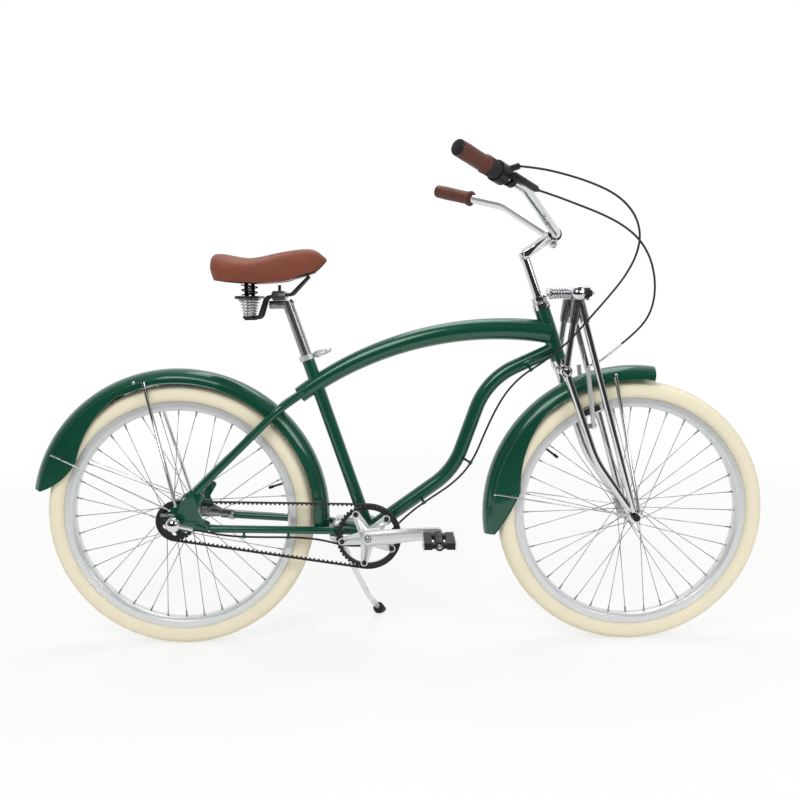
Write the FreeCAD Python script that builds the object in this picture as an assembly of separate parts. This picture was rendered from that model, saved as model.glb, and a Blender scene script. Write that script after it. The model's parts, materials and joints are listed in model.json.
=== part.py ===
"""Beach cruiser bicycle: arched frame, springer fork, belt drive, deep mudguards and a sprung saddle.

+X points forward, +Y to the rider's left and +Z up. The origin lies on the ground, midway between the
rearmost and foremost points. Lengths are in millimetres and angles in degrees. A reach is measured
forward from the rear axle, a height from the ground and an offset sideways from the middle plane.
"""
import FreeCAD, Part
import math
import os

Vec = FreeCAD.Vector

# Wheels
wheel_radius = 333.0
tread_flat = 24.0
tyre_width = 54.0
tyre_wall = 4.0
tyre_belly_radius = 309.0
bead_radius = 281.0
bead_gap = 0.3
rim_edge_radius = 291.0
rim_width = 34.0
rim_wall = 2.4
rim_floor_radius = 267.0
rim_floor_width = 14.0
rim_shoulder_radius = 273.0
spoke_count = 36
spoke_radius = 1.0
spoke_sides = 6
spoke_crossings = 3
spoke_rim_offset = 3.0
spoke_seat_gap = 0.2
spoke_splay = 1.5
flange_thickness = 3.2
flange_rim_land = 3.5
front_spoke_circle = 20.5
front_flange_offset = 33.0
front_barrel_radius = 14.0
front_hub_half = 46.0
front_cone_radius = 10.5
rear_spoke_circle = 33.0
rear_flange_offset = 29.0
rear_barrel_radius = 28.0
rear_hub_half = 44.0
rear_cone_radius = 16.0
axle_radius = 5.0
running_gap = 0.05
seat_gap = 0.3

# Belt drive
belt_pitch = 11.0
belt_tooth_count = 123
belt_width = 11.0
belt_back = 1.6
belt_land = 0.7
belt_tooth_height = 3.4
belt_tooth_root = 5.4
belt_tooth_tip = 3.4
belt_tooth_play = 0.35
belt_line_offset = -56.0
front_teeth = 46
rear_teeth = 28
sprocket_thickness = 9.0
front_sprocket_bore = 68.0
spider_circle = 65.0
spider_arms = 5
spider_tab_radius = 9.0
spider_thickness = 6.0
spider_first_angle = 41.0
sprocket_bolt_radius = 4.0
sprocket_bolt_head = 6.0
sprocket_bolt_head_height = 2.0
rear_sprocket_hub_radius = 21.0
rear_window_count = 7
rear_window_radius = 6.5
rear_window_circle = 32.0
driver_length = 14.0

# Frame tubes
bottom_bracket_drop = 43.0
bottom_bracket_radius = 20.5
bottom_bracket_wall = 3.0
bottom_bracket_width = 68.0
seat_tube_top_reach = 322.0
seat_tube_top_height = 732.0
seat_tube_radius = 16.0
head_top_reach = 902.0
head_top_height = 844.5
head_tube_length = 131.0
head_angle = 71.0
front_axle_lead = 51.88
head_tube_radius = 19.0
head_tube_wall = 2.2
top_tube_rear_reach = 303.0
top_tube_rear_height = 636.0
top_tube_crown_reach = 603.0
top_tube_crown_height = 774.0
top_tube_front_height = 787.0
top_tube_front_radius = 28.0
top_tube_rear_radius = 20.5
frame_wall = 1.6
down_tube_radius = 18.0
down_tube_head_distance = 104.0
down_tube_upper_reach = 768.0
down_tube_upper_height = 672.0
down_tube_lower_reach = 684.0
down_tube_lower_height = 442.0
down_tube_bend = 180.0
down_tube_bend_share = 0.45
stay_radius = 10.0
stay_wall = 1.5
seat_stay_root_reach = 312.0
seat_stay_root_height = 643.0
seat_stay_root_offset = 16.0
seat_stay_knee_reach = 256.0
seat_stay_knee_height = 606.0
seat_stay_knee_offset = 49.0
seat_stay_end_reach = 52.0
seat_stay_end_height = 408.0
seat_stay_bend = 60.0
dropout_offset = 67.0
dropout_thickness = 6.0
chain_stay_radius = 9.5
chain_stay_end_reach = 84.0
chain_stay_end_height = 316.0
chain_stay_knee_reach = 362.0
chain_stay_knee_height = 303.0
chain_stay_knee_offset = 46.5
chain_stay_root_offset = 14.0
chain_stay_bend = 60.0
bridge_reach = 381.0
bridge_radius = 5.0
dropout_outline_shares = [(-0.30, -0.16), (0.35, -0.30), (1.0, -0.30), (1.0, 0.0), (0.78, 0.10),
                          (0.66, 0.42), (0.90, 0.86), (0.56, 1.04), (0.20, 0.66), (-0.12, 0.50), (-0.36, 0.20)]
dropout_reach = 84.0
dropout_height = 76.0
dropout_slot_reach = 46.0
dropout_round = 7.0

# Bearings and cups
steerer_radius = 12.7
steerer_wall = 1.5
headset_cup_height = 14.0
headset_cup_radius = 22.0
headset_nut_radius = 18.5
headset_nut_height = 9.0
spindle_radius = 8.5
spindle_half = 83.0
bearing_length = 12.0
bearing_lip = 3.0

# Seat post, collar and saddle
seat_post_radius = 13.5
seat_post_wall = 2.5
seat_post_insert = 150.0
seat_post_rise = 127.0
post_head_length = 46.0
post_head_radius = 10.0
clamp_plate = 11.5
clamp_length = 34.0
clamp_bolt_radius = 4.0
clamp_bolt_tail = 26.0
clamp_bolt_room = 3.0
collar_radius = 20.5
collar_height = 13.0
collar_drop = 4.0
collar_gap = 3.0
collar_lug = 10.0
collar_lug_radius = 6.0
collar_pin_reach = 29.0
lever_pin_radius = 3.0
collar_lever_length = 30.0
collar_lever_width = 9.0
collar_lever_thickness = 5.0
lever_taper_share = 0.6
rail_radius = 4.0
rail_nose_offset = 8.0
rail_offset = 20.0
rail_bend = 15.0
rail_nose_lead = 50.5
rail_nose_rise = 66.0
rail_pin_half = 14.0
rail_mid_lead = 10.5
rail_mid_rise = 25.0
rail_back_setback = 51.5
rail_back_rise = 19.0
rail_drop_setback = 68.5
rail_drop_offset = 28.0
rail_tail_setback = 99.5
rail_tail_drop = 32.0
saddle_spring_offset = 45.0
saddle_spring_setback = 93.5
saddle_spring_top_rise = 15.0
saddle_spring_wide = 18.0
saddle_spring_narrow = 8.0
saddle_spring_wire = 1.9
saddle_spring_turns = 5
spring_cup = 1.5
spring_cup_radius = 10.5
saddle_plate_thickness = 7.0
saddle_plate_length = 56.0
saddle_plate_half = 66.0
upper_coil_radius = 11.0
upper_coil_wire = 1.6
upper_coil_turns = 2
upper_post_radius = 5.0
pan_thickness = 3.5
pan_gap = 0.3
saddle_rear_setback = 176.5
saddle_length = 281.0
saddle_half_width = 118.0
saddle_base_rise = 56.0
saddle_depth = 78.0
saddle_edge_share = 0.80
saddle_belly_share = 0.42
saddle_shoulder_share = 0.86
pan_width_share = 0.62
saddle_station_shares = [0.0, 0.06, 0.17, 0.34, 0.52, 0.70, 0.87, 0.97]
saddle_width_shares = [0.66, 0.86, 1.0, 0.90, 0.56, 0.35, 0.27, 0.17]
saddle_top_shares = [0.74, 0.87, 0.87, 0.79, 0.87, 0.96, 1.0, 0.82]
saddle_bottom_shares = [0.20, 0.09, 0.035, 0.0, 0.04, 0.155, 0.33, 0.56]

# Mudguards
guard_crown_radius = 372.0
guard_edge_radius = 349.0
guard_half_width = 34.5
guard_thickness = 1.5
rear_guard_front_angle = -6.0
rear_guard_tail_angle = 168.0
front_guard_nose_angle = 82.0
front_guard_tail_angle = 188.0
skirt_deep_radius = 288.0
rear_skirt_angles = [101.0, 124.0, 150.0, 161.0]
front_skirt_angles = [121.0, 140.0, 168.0, 178.0]
skirt_middle_radius = 326.0
skirt_heel_radius = 306.0
strut_radius = 4.5
wire_radius = 2.0
strut_screw_radius = 3.0
strut_screw_reach = 4.0
rear_strut_reach = 4.0
rear_strut_height = 376.0
rear_wire_reach = -12.0
rear_wire_height = 364.0
front_strut_root = 14.5
front_strut_root_angle = 62.0
front_wire_root_angle = 165.0
rear_strut_angle = 102.0
rear_wire_angle = 152.0
front_strut_angle = 98.5
front_wire_angle = 171.0

# Springer fork
leg_offset = 54.0
crown_distance = 158.0
crown_tube_radius = 13.0
crown_half = 44.0
pivot_pin_radius = 6.0
pivot_boss_radius = 13.0
pivot_boss_width = 18.0
pivot_cap_radius = 10.0
pivot_cap_height = 4.0
yoke_lead = 76.0
yoke_rise = 37.5
yoke_radius = 13.0
yoke_end_radius = 15.0
yoke_end_width = 24.0
leg_sleeve_radius = 11.0
leg_sleeve_length = 52.0
leg_tube_radius = 8.0
blade_radius = 9.0
blade_knee_lead = 128.0
blade_knee_height = 475.0
blade_bend = 250.0
fork_end_radius = 16.0
fork_end_thickness = 6.0
fork_end_setback = 18.0
fork_end_height = 357.0
leg_wall = 1.5
spring_offset = 21.0
spring_radius = 12.0
spring_wire = 2.2
spring_turns = 6
spring_length = 44.0
perch_thickness = 4.0
perch_arm_offset = 13.0
perch_arm_radius = 4.0
perch_collar = 8.0
perch_arm_drop = 1.0
perch_plate_half = 36.0
perch_plate_height = 28.0
spring_bolt_radius = 4.0
spring_bolt_slot = 7.6
bumper_radius = 13.0
bumper_length = 17.0
bumper_washer_radius = 17.0
bumper_washer = 3.0
spring_bolt_tail = 6.0
spring_nut_radius = 8.0
spring_nut_length = 8.0
axle_nut_radius = 9.0
axle_nut_length = 13.0

# Stem, handlebar and controls
stem_radius = 11.1
stem_corner_distance = 140.0
stem_corner_radius = 13.0
stem_insert = 70.0
bar_clamp_lead = 25.0
bar_clamp_height = 1023.5
stem_clamp_radius = 17.0
stem_clamp_half = 20.0
stem_bolt_drop = 24.0
stem_bolt_radius = 5.0
stem_bolt_share = 0.8
stem_lug_radius = 8.0
stem_lug_share = 0.6
bar_radius = 11.1
bar_wall = 1.6
bar_root_offset = 40.0
bar_root_bend = 34.0
bar_bend_setback = 73.0
bar_bend_offset = 172.0
bar_bend_height = 1112.0
bar_bend = 85.0
bar_end_setback = 234.0
bar_end_offset = 336.0
bar_end_height = 1171.0
grip_radius = 17.5
grip_length = 124.0
right_grip_length = 92.0
grip_flange_radius = 20.5
grip_flange_length = 7.0
grip_cap = 4.0
twist_length = 33.0
twist_radius = 20.0
twist_rib_count = 14
twist_rib = 1.3
shifter_length = 27.0
shifter_radius = 23.0
shifter_spout_radius = 7.0
lever_clamp_length = 14.0
lever_clamp_radius = 16.5
lever_clamp_start = 173.0
bracket_radius = 7.5
bracket_length = 92.0
barrel_radius = 4.5
barrel_length = 9.0
lever_pivot_drop = 46.0
lever_pivot_radius = 4.0
lever_pivot_half = 9.0
lever_blade_length = 108.0
lever_blade_width = 9.0
lever_blade_thickness = 6.0
lever_blade_bow = 7.0
lever_slot_share = 0.6
lever_knob_share = 0.8

# Brake arms on the fork blades
brake_pivot_setback = 106.0
brake_lean = 7.0
brake_pivot_height = 561.0
brake_arm_offset = 48.0
brake_arm_width = 7.0
brake_arm_depth = 10.0
brake_arm_length = 142.0
brake_pivot_radius = 4.5
brake_hub_radius = 8.0
brake_pad_gap = 2.0
brake_pad_thickness = 10.0
brake_pad_length = 52.0
brake_pad_height = 12.0
brake_post_radius = 3.5
brake_lug_depth = 24.0
brake_lug_radius = 6.5

# Cranks and pedals
crank_length = 170.0
crank_angle = 4.0
crank_boss_radius = 18.0
crank_eye_radius = 13.0
crank_thickness = 14.0
pedal_axle_radius = 6.0
pedal_axle_length = 104.0
pedal_start = 12.0
pedal_width = 88.0
pedal_length = 72.0
pedal_height = 22.0
pedal_core_radius = 11.0
pedal_block = 19.0
pedal_cage = 2.5
pedal_tooth = 3.0
pedal_tooth_count = 8

# Kickstand and small fittings
stand_pivot_reach = 386.0
stand_pivot_height = 263.0
stand_pivot_offset = 45.0
stand_knee_reach = 466.0
stand_knee_height = 95.0
stand_knee_offset = 55.0
stand_bend = 40.0
stand_foot_reach = 494.0
stand_foot_offset = 190.0
stand_pin_shares = [0.2, 1.0, 0.4]
stand_leg_radius = 7.5
stand_head_radius = 12.0
stand_cap = 3.0
stand_cap_radius = 8.5
stand_sleeve_radius = 11.0
stand_sleeve_length = 60.0
stand_foot_radius = 15.0
stand_foot_length = 30.0
stand_pin_radius = 6.0
stand_ear = 9.0
stand_neck_radius = 4.0
stand_head_width = 14.0
bracket_plate_length = 32.0
bracket_plate_back = 12.0
bracket_plate_height = 9.0
bracket_plate_half = 42.0
bracket_bolt_radius = 4.0
bell_radius = 19.0
bell_length = 22.0
bell_spout_radius = 5.0
adjuster_radius = 4.0
adjuster_length = 34.0
adjuster_rise = 20.0
coaster_arm_length = 112.0
coaster_arm_width = 16.0
coaster_arm_offset = 49.0
coaster_arm_thickness = 3.0
coaster_clip_width = 12.0
coaster_clip_radius = 12.5
cable_radius = 2.5
brake_wire_radius = 1.2
noodle_radius = 3.0
cable_sides = 8
cable_bend_share = 0.45
clip_length = 9.0
clip_wall = 1.5
clip_lug_radius = 3.0
clip_stretches = [(13, 14, 15), (16, 17, 18), (20, 21, 22), (27, 28), (29, 30)]
overrun = 2.0
coil_sides = 6
coil_samples = 24
heading_step_share = 1e-6
along_share = 0.9

# The shift cable's route, from the twist shifter over the front and under the frame to the rear hub,
# in shares of the head's reach, the bar bend's offset and the head's height
shift_route_shares = [(0.8936, -1.3023, 1.3641), (0.9424, -1.2267, 1.3618), (1.0044, -1.1279, 1.3511),
                      (1.0776, -1.0174, 1.3321), (1.1508, -0.9012, 1.3025), (1.2018, -0.7849, 1.2575),
                      (1.2262, -0.6686, 1.2031), (1.2217, -0.5756, 1.1462), (1.1940, -0.5640, 1.0894),
                      (1.1541, -0.5291, 1.0337), (1.1109, -0.4884, 0.9781), (1.0698, -0.4419, 0.9248),
                      (1.0299, -0.3605, 0.8798), (0.9878, -0.2616, 0.8431), (0.9424, -0.1919, 0.8099),
                      (0.9002, -0.1802, 0.7626), (0.8681, -0.1744, 0.7034), (0.8415, -0.1686, 0.6394),
                      (0.8182, -0.1686, 0.5779), (0.7894, -0.1744, 0.5281), (0.7494, -0.1802, 0.4879),
                      (0.7007, -0.1860, 0.4535), (0.6497, -0.1860, 0.4168), (0.6031, -0.1860, 0.3718),
                      (0.5610, -0.1802, 0.3256), (0.5122, -0.1744, 0.3043), (0.4568, -0.1860, 0.3055),
                      (0.3947, -0.2384, 0.3280), (0.3326, -0.2965, 0.3398), (0.2727, -0.3314, 0.3434),
                      (0.2106, -0.3547, 0.3458), (0.1552, -0.3837, 0.3505), (0.1153, -0.4360, 0.3600),
                      (0.0820, -0.4942, 0.3718), (0.0532, -0.5233, 0.3801)]
# The brake cable's route in the same shares, from the lever's barrel over the front to the brake arms
brake_route_shares = [(0.9457, -1.1453, 1.3085), (0.9933, -1.0814, 1.2943), (1.0488, -0.9942, 1.2753),
                      (1.1075, -0.9012, 1.2552), (1.1663, -0.8023, 1.2291), (1.2173, -0.7035, 1.1936),
                      (1.2528, -0.6163, 1.1462), (1.2727, -0.5349, 1.0918), (1.2794, -0.4651, 1.0349),
                      (1.2705, -0.3953, 0.9805), (1.2417, -0.3372, 0.9355), (1.2040, -0.2907, 0.8999)]
noodle_route_shares = [(1.2040, -0.2907, 0.8999), (1.1707, -0.2558, 0.8680), (1.1463, -0.2151, 0.8455),
                       (1.1286, -0.1512, 0.8372)]


def unit(v):
    """The vector of length one that points the same way."""
    return Vec(v).normalize()


def cylinder(start, end, radius):
    """A round bar between two points."""
    return Part.makeCylinder(radius, (end - start).Length, start, end - start)


def tube(start, end, radius, bore):
    """A round tube between two points, open at both ends."""
    along = unit(end - start) * overrun
    return cylinder(start, end, radius).cut(cylinder(start - along, end + along, bore))


def polygon_face(points):
    """A flat face inside straight edges."""
    return Part.Face(Part.makePolygon(points + [points[0]]))


def regular_wire(centre, along, radius, sides):
    """A regular polygon about a point, square to a direction."""
    across = along.cross(Vec(0, 1, 0) if abs(unit(along).y) < along_share else Vec(1, 0, 0))
    first = unit(across) * radius
    turn = [FreeCAD.Rotation(along, 360.0 * k / sides).multVec(first) for k in range(sides)]
    corners = [centre + t for t in turn]
    return Part.makePolygon(corners + [corners[0]])


def circle_wire(centre, along, radius):
    """A circle about a point, square to a direction."""
    return Part.Wire(Part.makeCircle(radius, centre, along))


def arc_between(start, tangent, end):
    """The arc that leaves start along the tangent and ends at the other point."""
    chord = end - start
    angle = tangent.getAngle(chord)
    bulge = tangent - chord * (tangent.dot(chord) / chord.dot(chord))
    middle = start + chord * 0.5
    if bulge.Length > 1e-9:
        middle = middle + unit(bulge) * (chord.Length / 2 * math.tan(angle / 2))
    return Part.Arc(start, middle, end).toShape()


def bent_path(points, radii):
    """Straight runs through the points, with each inner corner rounded by a tangent arc."""
    edges = []
    at = points[0]
    for before, corner, after, radius in zip(points, points[1:], points[2:], radii):
        into = unit(corner - before)
        out = unit(after - corner)
        cut = radius * math.tan(into.getAngle(out) / 2)
        start = corner - into * cut
        end = corner + out * cut
        if (start - at).Length > 1e-6:
            edges.append(Part.LineSegment(at, start).toShape())
        edges.append(arc_between(start, into, end))
        at = end
    edges.append(Part.LineSegment(at, points[-1]).toShape())
    return Part.Wire(edges)


def route_radii(points, share):
    """The largest radius that each corner of a route can take."""
    radii = []
    for before, corner, after in zip(points, points[1:], points[2:]):
        run = min((corner - before).Length, (after - corner).Length)
        turn = (corner - before).getAngle(after - corner)
        radii.append(share * run / math.tan(turn / 2))
    return radii


def bent_bar(points, radii, radius):
    """A round bar along straight runs and arcs."""
    path = bent_path(points, radii)
    return path.makePipeShell([circle_wire(points[0], points[1] - points[0], radius)], True, False)


def bent_tube(points, radii, radius, bore):
    """A round tube along straight runs and arcs, open at both ends."""
    return bent_bar(points, radii, radius).cut(bent_bar(points, radii, bore))


def mirrored(shape):
    """The same shape on the other side of the middle plane."""
    return shape.mirror(Vec(0, 0, 0), Vec(0, 1, 0))


def both_sides(shape):
    """A shape and its mirror image."""
    return [shape, mirrored(shape)]


def turned(section, centre, first_angle, last_angle):
    """A section drawn ahead of the axle, swept round it from one angle to another, upwards being positive."""
    start = section.copy()
    start.rotate(centre, Vec(0, -1, 0), first_angle)
    return start.revolve(centre, Vec(0, -1, 0), last_angle - first_angle)


def polar(centre, radius, angle, offset):
    """A point at a radius and an angle about an axle."""
    a = math.radians(angle)
    return Vec(centre.x + radius * math.cos(a), offset, centre.z + radius * math.sin(a))


def link_face(start, start_radius, end, end_radius):
    """The outline of two circles in a plane square to Y, joined by their common tangents."""
    along = end - start
    lean = math.degrees(math.acos((start_radius - end_radius) / along.Length))
    axis = Vec(0, -1, 0)
    forward = unit(along)
    upper = FreeCAD.Rotation(axis, lean).multVec(forward)
    lower = FreeCAD.Rotation(axis, -lean).multVec(forward)
    back = forward * -start_radius
    edges = [Part.Arc(start + upper * start_radius, start + back, start + lower * start_radius).toShape(),
             Part.LineSegment(start + lower * start_radius, end + lower * end_radius).toShape(),
             Part.Arc(end + lower * end_radius, end + forward * end_radius, end + upper * end_radius).toShape(),
             Part.LineSegment(end + upper * end_radius, start + upper * start_radius).toShape()]
    return Part.Face(Part.Wire(edges))


def coil(foot, along, foot_radius, top_radius, length, turns, wire):
    """One unbroken helical wire, round or conical, on biarcs; returns it and its own least gap."""
    axis = unit(along)
    across = unit(axis.cross(Vec(0, 1, 0) if abs(axis.y) < along_share else Vec(1, 0, 0)))
    beside = axis.cross(across)
    sweep = 2 * math.pi * turns

    def place(angle):
        part = angle / sweep
        radius = foot_radius + (top_radius - foot_radius) * part
        out = across * (radius * math.cos(angle)) + beside * (radius * math.sin(angle))
        return foot + out + axis * (length * part)

    def heading(angle):
        step = sweep * heading_step_share
        return unit(place(angle + step) - place(angle - step))

    edges = []
    quarters = 4 * turns
    for k in range(quarters):
        a0, a1 = sweep * k / quarters, sweep * (k + 1) / quarters
        p0, p1, t0, t1 = place(a0), place(a1), heading(a0), heading(a1)
        chord = p1 - p0
        lead = chord.dot(t0 + t1)
        spread = 2 * (1 - t0.dot(t1))
        reach = (math.sqrt(lead * lead + spread * chord.dot(chord)) - lead) / spread
        joint = (p0 + t0 * reach + p1 - t1 * reach) * 0.5
        edges.append(arc_between(p0, t0, joint))
        tail = arc_between(p1, t1 * -1, joint)
        edges.append(tail)
    path = Part.Wire(Part.__sortEdges__(edges))
    section = regular_wire(place(0), heading(0), wire, coil_sides)
    body = path.makePipeShell([section], True, False)
    count = turns * coil_samples
    points = [place(sweep * k / count) for k in range(count + 1)]
    gaps = [(a - b).Length for i, a in enumerate(points) for b in points[i + coil_samples // 2:]]
    return body, min(gaps) - 2 * wire


def runs_along(edge, way):
    """Whether an edge runs along a direction."""
    return abs(edge.tangentAt(edge.FirstParameter).dot(way)) > along_share


def whole(shapes):
    """Several solids as one node."""
    return Part.makeCompound(shapes)


# Fixed places worked out from the driving dimensions
crank_inner_offset = sprocket_thickness / 2 + spider_thickness - belt_line_offset
head_lean_reach = (head_top_height - wheel_radius) / math.tan(math.radians(head_angle))
wheelbase = head_top_reach + head_lean_reach + front_axle_lead
rear_reach = guard_crown_radius * math.cos(math.radians(180.0 - rear_guard_tail_angle))
rear_x = (rear_reach - wheel_radius - wheelbase) / 2


def side(reach, height, offset=0):
    """A point given by its reach ahead of the rear axle, its height and its offset to the left."""
    return Vec(rear_x + reach, offset, height)


def belt_centre_distance():
    """The distance between the sprockets' axes that a belt of whole teeth just fits."""
    big = front_teeth * belt_pitch / (2 * math.pi)
    small = rear_teeth * belt_pitch / (2 * math.pi)
    length = belt_tooth_count * belt_pitch
    distance = length / 2 - math.pi * (big + small) / 2
    for _ in range(20):
        lean = math.asin((big - small) / distance)
        arcs = big * (math.pi + 2 * lean) + small * (math.pi - 2 * lean)
        distance = (length - arcs) / (2 * math.cos(lean))
    return distance


rear_axle = side(0, wheel_radius)
front_axle = side(wheelbase, wheel_radius)
belt_distance = belt_centre_distance()
bracket_reach = math.sqrt(belt_distance ** 2 - bottom_bracket_drop ** 2)
bottom_bracket = side(bracket_reach, wheel_radius - bottom_bracket_drop)
seat_top = side(seat_tube_top_reach, seat_tube_top_height)
seat_up = unit(seat_top - bottom_bracket)
post_head_reach = seat_tube_top_reach + seat_post_rise * seat_up.x / seat_up.z
post_head_height = seat_tube_top_height + seat_post_rise
rail_nose_reach = post_head_reach + rail_nose_lead
rail_nose_height = post_head_height + rail_nose_rise
rail_tail_height = post_head_height - rail_tail_drop
saddle_spring_reach = post_head_reach - saddle_spring_setback
saddle_spring_top_height = post_head_height + saddle_spring_top_rise
saddle_rear_reach = post_head_reach - saddle_rear_setback
saddle_base_height = post_head_height + saddle_base_rise
bar_clamp_reach = head_top_reach + bar_clamp_lead
bar_bend_reach = head_top_reach - bar_bend_setback
bar_end_reach = head_top_reach - bar_end_setback
head_top = side(head_top_reach, head_top_height)
head_down = Vec(math.cos(math.radians(head_angle)), 0, -math.sin(math.radians(head_angle)))
head_bottom = head_top + head_down * head_tube_length
crown_pivot = head_top + head_down * crown_distance
yoke = side(head_top_reach + yoke_lead, head_top_height + yoke_rise)


def on_head_axis(distance):
    """A point on the steering axis, below the head tube's top."""
    return head_top + head_down * distance


nodes = {}


def add(name, *shapes):
    """Keep the solids of one node."""
    nodes[name] = shapes[0] if len(shapes) == 1 else whole(shapes)


# Wheels

def tyre(centre):
    """A hollow balloon tyre with a flat tread, open towards the rim."""
    half = rim_width / 2 - rim_wall - bead_gap
    belly = tyre_width / 2
    flat = tread_flat / 2

    def section(shrink, foot):
        left = [Vec(centre.x + foot, -half + shrink, centre.z),
                Vec(centre.x + rim_edge_radius, -half + shrink, centre.z)]
        right = [Vec(p.x, -p.y, p.z) for p in left]
        tread = [Vec(centre.x + wheel_radius - shrink, -flat, centre.z),
                 Vec(centre.x + wheel_radius - shrink, flat, centre.z)]
        side_left = Vec(centre.x + tyre_belly_radius, -belly + shrink, centre.z)
        side_right = Vec(side_left.x, -side_left.y, centre.z)
        return Part.Face(Part.Wire([
            Part.LineSegment(left[0], left[1]).toShape(),
            Part.Arc(left[1], side_left, tread[0]).toShape(),
            Part.LineSegment(tread[0], tread[1]).toShape(),
            Part.Arc(tread[1], side_right, right[1]).toShape(),
            Part.LineSegment(right[1], right[0]).toShape(),
            Part.LineSegment(right[0], left[0]).toShape()]))

    casing = section(0, bead_radius).cut(section(tyre_wall, bead_radius - overrun))
    return turned(casing.Faces[0], centre, 0, 360)


def rim(centre):
    """A rolled channel rim with a narrow floor, shoulders and upright brake walls."""
    half = rim_width / 2
    floor = rim_floor_width / 2
    outer = [(rim_edge_radius, -half), (rim_shoulder_radius, -half), (rim_floor_radius, -floor),
             (rim_floor_radius, floor), (rim_shoulder_radius, half), (rim_edge_radius, half)]
    inner = [(rim_edge_radius, half - rim_wall), (rim_shoulder_radius + rim_wall, half - rim_wall),
             (rim_floor_radius + rim_wall, floor), (rim_floor_radius + rim_wall, -floor),
             (rim_shoulder_radius + rim_wall, rim_wall - half), (rim_edge_radius, rim_wall - half)]
    section = polygon_face([Vec(centre.x + r, y, centre.z) for r, y in outer + inner])
    return turned(section, centre, 0, 360)


def hub(centre, spoke_circle, flange_offset, barrel_radius, half, cone_radius):
    """A turned hub shell with two spoke flanges and a bore that runs on the axle."""
    flange = spoke_circle + flange_rim_land
    thick = flange_thickness / 2
    bore = axle_radius + running_gap
    outline = [(bore, -half), (cone_radius, -half), (barrel_radius, -flange_offset - thick),
               (flange, -flange_offset - thick), (flange, -flange_offset + thick),
               (barrel_radius, -flange_offset + thick)]
    outline = outline + [(r, -y) for r, y in reversed(outline)]
    section = polygon_face([Vec(centre.x + r, y, centre.z) for r, y in outline])
    return turned(section, centre, 0, 360)


def spokes(centre, spoke_circle, flange_offset):
    """Laced spokes: on each flange every other one leads and the rest trail, three crossings apart."""
    per_side = spoke_count // 2
    step = 360.0 / per_side
    lean = spoke_crossings * 720.0 / spoke_count
    bars = []
    for flank in (-1, 1):
        for k in range(per_side):
            way = 1 if k % 2 == 0 else -1
            angle = step * k + (step / 2 if flank > 0 else 0)
            out = flank * (flange_offset + way * (flange_thickness / 2 + spoke_radius + spoke_splay))
            foot = polar(centre, spoke_circle, angle, out)
            tip = polar(centre, rim_floor_radius - spoke_seat_gap, angle + way * lean, flank * spoke_rim_offset)
            face = Part.Face(regular_wire(foot, tip - foot, spoke_radius, spoke_sides))
            bars.append(face.extrude(tip - foot))
    return whole(bars)


def build_wheels():
    """Two wheels, each of tyre, rim, spokes and hub shell."""
    add("rear_tyre", tyre(rear_axle))
    add("rear_rim", rim(rear_axle))
    add("rear_spokes", spokes(rear_axle, rear_spoke_circle, rear_flange_offset))
    add("rear_hub", hub(rear_axle, rear_spoke_circle, rear_flange_offset, rear_barrel_radius,
                        rear_hub_half, rear_cone_radius))
    add("front_tyre", tyre(front_axle))
    add("front_rim", rim(front_axle))
    add("front_spokes", spokes(front_axle, front_spoke_circle, front_flange_offset))
    add("front_hub", hub(front_axle, front_spoke_circle, front_flange_offset, front_barrel_radius,
                         front_hub_half, front_cone_radius))


# Frame

def top_tube_sweep(front_radius, rear_radius):
    """The long tapered tube that arches from the head over the seat tube."""
    rear = side(top_tube_rear_reach, top_tube_rear_height)
    crown = side(top_tube_crown_reach, top_tube_crown_height)
    drop = (head_top_height - top_tube_front_height) / -head_down.z
    front = on_head_axis(drop)
    path = Part.Wire(Part.Arc(rear, crown, front).toShape())
    curve = path.Edges[0].Curve
    first = curve.tangent(path.Edges[0].FirstParameter)[0]
    last = curve.tangent(path.Edges[0].LastParameter)[0]
    ends = [circle_wire(rear, first, rear_radius), circle_wire(front, last, front_radius)]
    return path.makePipeShell(ends, True, False)


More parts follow.
